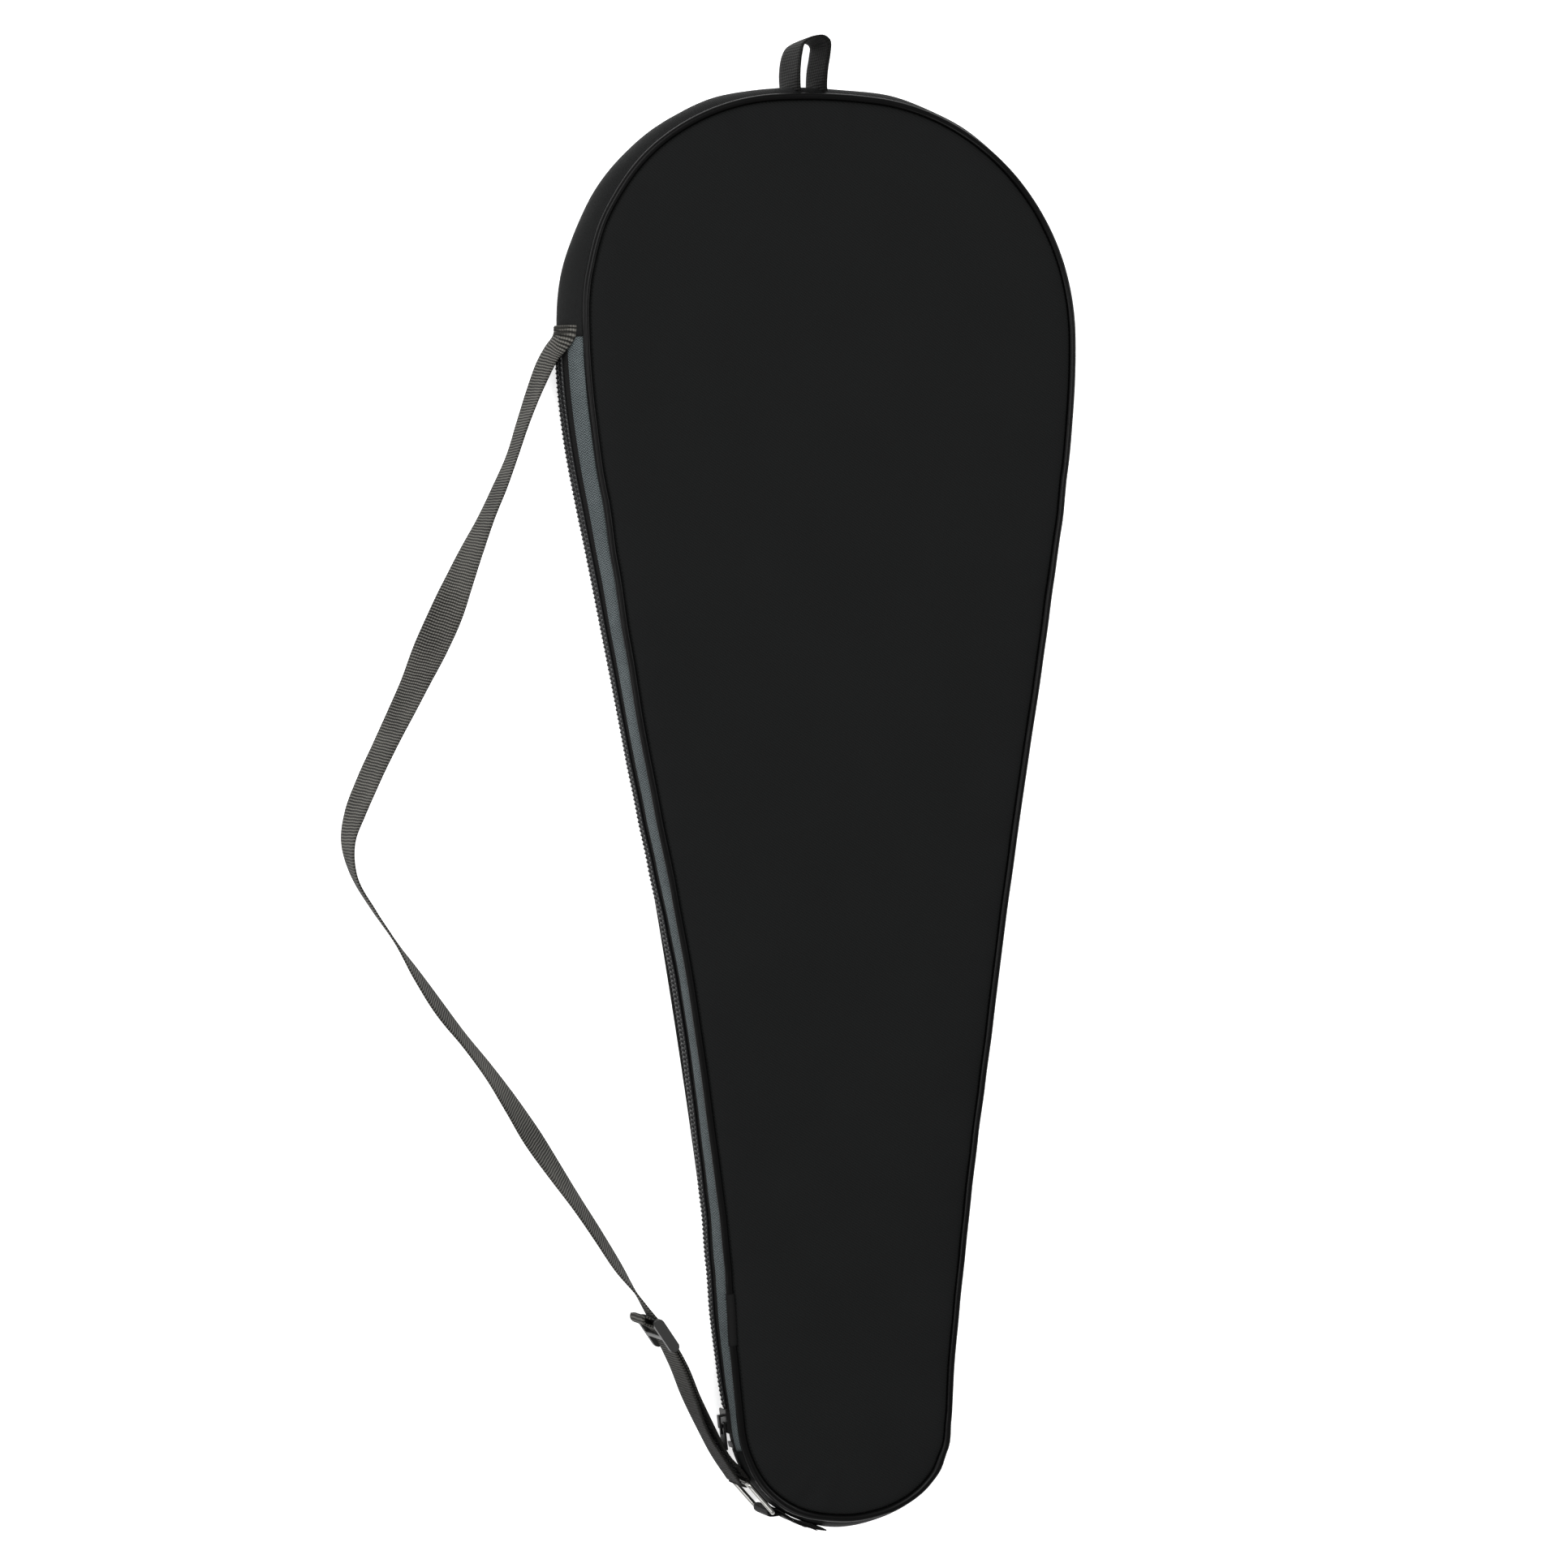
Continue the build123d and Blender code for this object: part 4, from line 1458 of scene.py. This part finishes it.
HARD_FINISHES: dict[str, Finish] = {
    "zip_slider": SLIDER,
    "zip_pull": PULL,
    "strap_ring": RING,
    "strap_adjuster": ADJUSTER,
    "zip_top_stop": STOP,
    "zip_bottom_stop": STOP,
}


def dress_hard_parts() -> None:
    """Give the metal and moulded nodes their finishes."""
    for name, finish in HARD_FINISHES.items():
        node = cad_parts[name]
        node.data.materials.clear()
        node.data.materials.append(Paint.of(finish))
        log.info("dressed %s", name)


@dataclass
class Studio:
    """A pale floor, soft light and the camera."""

    tilt: float = 21.41
    pitch: float = 0.47
    roll: float = -1.08
    distance: float = 2300.0
    shift_x: float = -17.17
    shift_y: float = 12.23
    lens: float = 103.54
    floor_size: float = 6.0
    floor_tone: Colour = grey(0.86)
    floor_drop: float = 0.0006
    floor_glow: float = 0.7
    sky: float = 0.35
    lights: tuple[tuple[str, Colour, float, float], ...] = (
        ("over", (-0.5, 0.9, 1.9), 1.3, 34.0),
        ("left", (-1.6, 0.1, 0.9), 0.9, 14.0),
        ("foot", (-0.3, -1.7, 1.3), 0.9, 14.0),
        ("right", (1.5, 0.5, 1.0), 0.5, 7.0),
    )

    def camera(self) -> None:
        """Put the camera in its place."""
        a, e, r = (math.radians(v) for v in (self.tilt, self.pitch, self.roll))
        back = Vector((-math.sin(a) * math.cos(e), math.sin(e), math.cos(a) * math.cos(e)))
        level = Vector((0, 1, 0)).cross(back).normalized()
        rise = back.cross(level)
        right = level * math.cos(r) + rise * math.sin(r)
        up = rise * math.cos(r) - level * math.sin(r)
        eye = right * self.shift_x + up * self.shift_y + back * self.distance
        data = bpy.data.cameras.new("camera")
        data.lens = self.lens
        data.sensor_width = 36.0
        data.clip_start, data.clip_end = 0.05, 50.0
        camera = bpy.data.objects.new("camera", data)
        turn = Matrix((right, up, back)).transposed().to_4x4()
        camera.matrix_world = Matrix.Translation(eye * MM) @ turn
        bpy.context.scene.collection.objects.link(camera)
        bpy.context.scene.camera = camera

    def light(self, name: str, place: Vector, size: float, power: float) -> None:
        """Add one soft square light that faces the case."""
        data = bpy.data.lights.new(name, "AREA")
        data.shape = "SQUARE"
        data.size = size
        data.energy = power
        lamp = bpy.data.objects.new(name, data)
        lamp.location = place
        lamp.rotation_mode = "QUATERNION"
        lamp.rotation_quaternion = (-place).to_track_quat("-Z", "Y")
        bpy.context.scene.collection.objects.link(lamp)

    def build(self) -> None:
        """Lay the floor, hang the lights and set the plain surroundings."""
        mesh = bmesh.new()
        bmesh.ops.create_grid(mesh, x_segments=1, y_segments=1, size=self.floor_size / 2)
        bmesh.ops.translate(mesh, verts=mesh.verts, vec=-UP * self.floor_drop)
        data = bpy.data.meshes.new("floor")
        mesh.to_mesh(data)
        mesh.free()
        floor = bpy.data.objects.new("floor", data)
        bpy.context.scene.collection.objects.link(floor)
        bench = Bench("floor")
        bench.set("Base Color", self.floor_tone)
        bench.set("Roughness", 0.9)
        bench.set("Specular IOR Level", 0.1)
        bench.set("Emission Color", grey(1.0))
        bench.set("Emission Strength", self.floor_glow)
        data.materials.append(bench.material)
        world = bpy.data.worlds.new("surroundings")
        world.use_nodes = True
        for socket, value in enumerate(((1, 1, 1, 1), self.sky)):
            world.node_tree.nodes["Background"].inputs[socket].default_value = value
        bpy.context.scene.world = world
        for name, place, size, power in self.lights:
            self.light(name, Vector(place), size, power)
        bpy.context.scene.view_settings.view_transform = "Standard"
        self.camera()


def main() -> None:
    """Build every piece in order."""
    logging.basicConfig(level=logging.INFO)
    soft = []
    for side in Side:
        panel = Panel(side)
        piping = Piping(side)
        soft += [panel.build(), panel.lining(), panel.stitches()]
        soft += [piping.build(), piping.sleeve(), piping.binding()]
    wall = SideWall()
    soft += [wall.gusset(), wall.lining(), *wall.tapes(), *wall.coils(), *wall.stitches()]
    lie = Lie()
    for piece in soft:
        lie.settle(piece)
        log.info("made %s", piece.name)
    strap = Strap()
    for piece in (strap.long_strip(), strap.returning_end(), strap.tab(), strap.tacks()):
        log.info("made %s", piece.name)
    log.info("made %s", HangingLoop().build().name)
    dress_hard_parts()
    Studio().build()


if __name__ == "__main__":
    main()
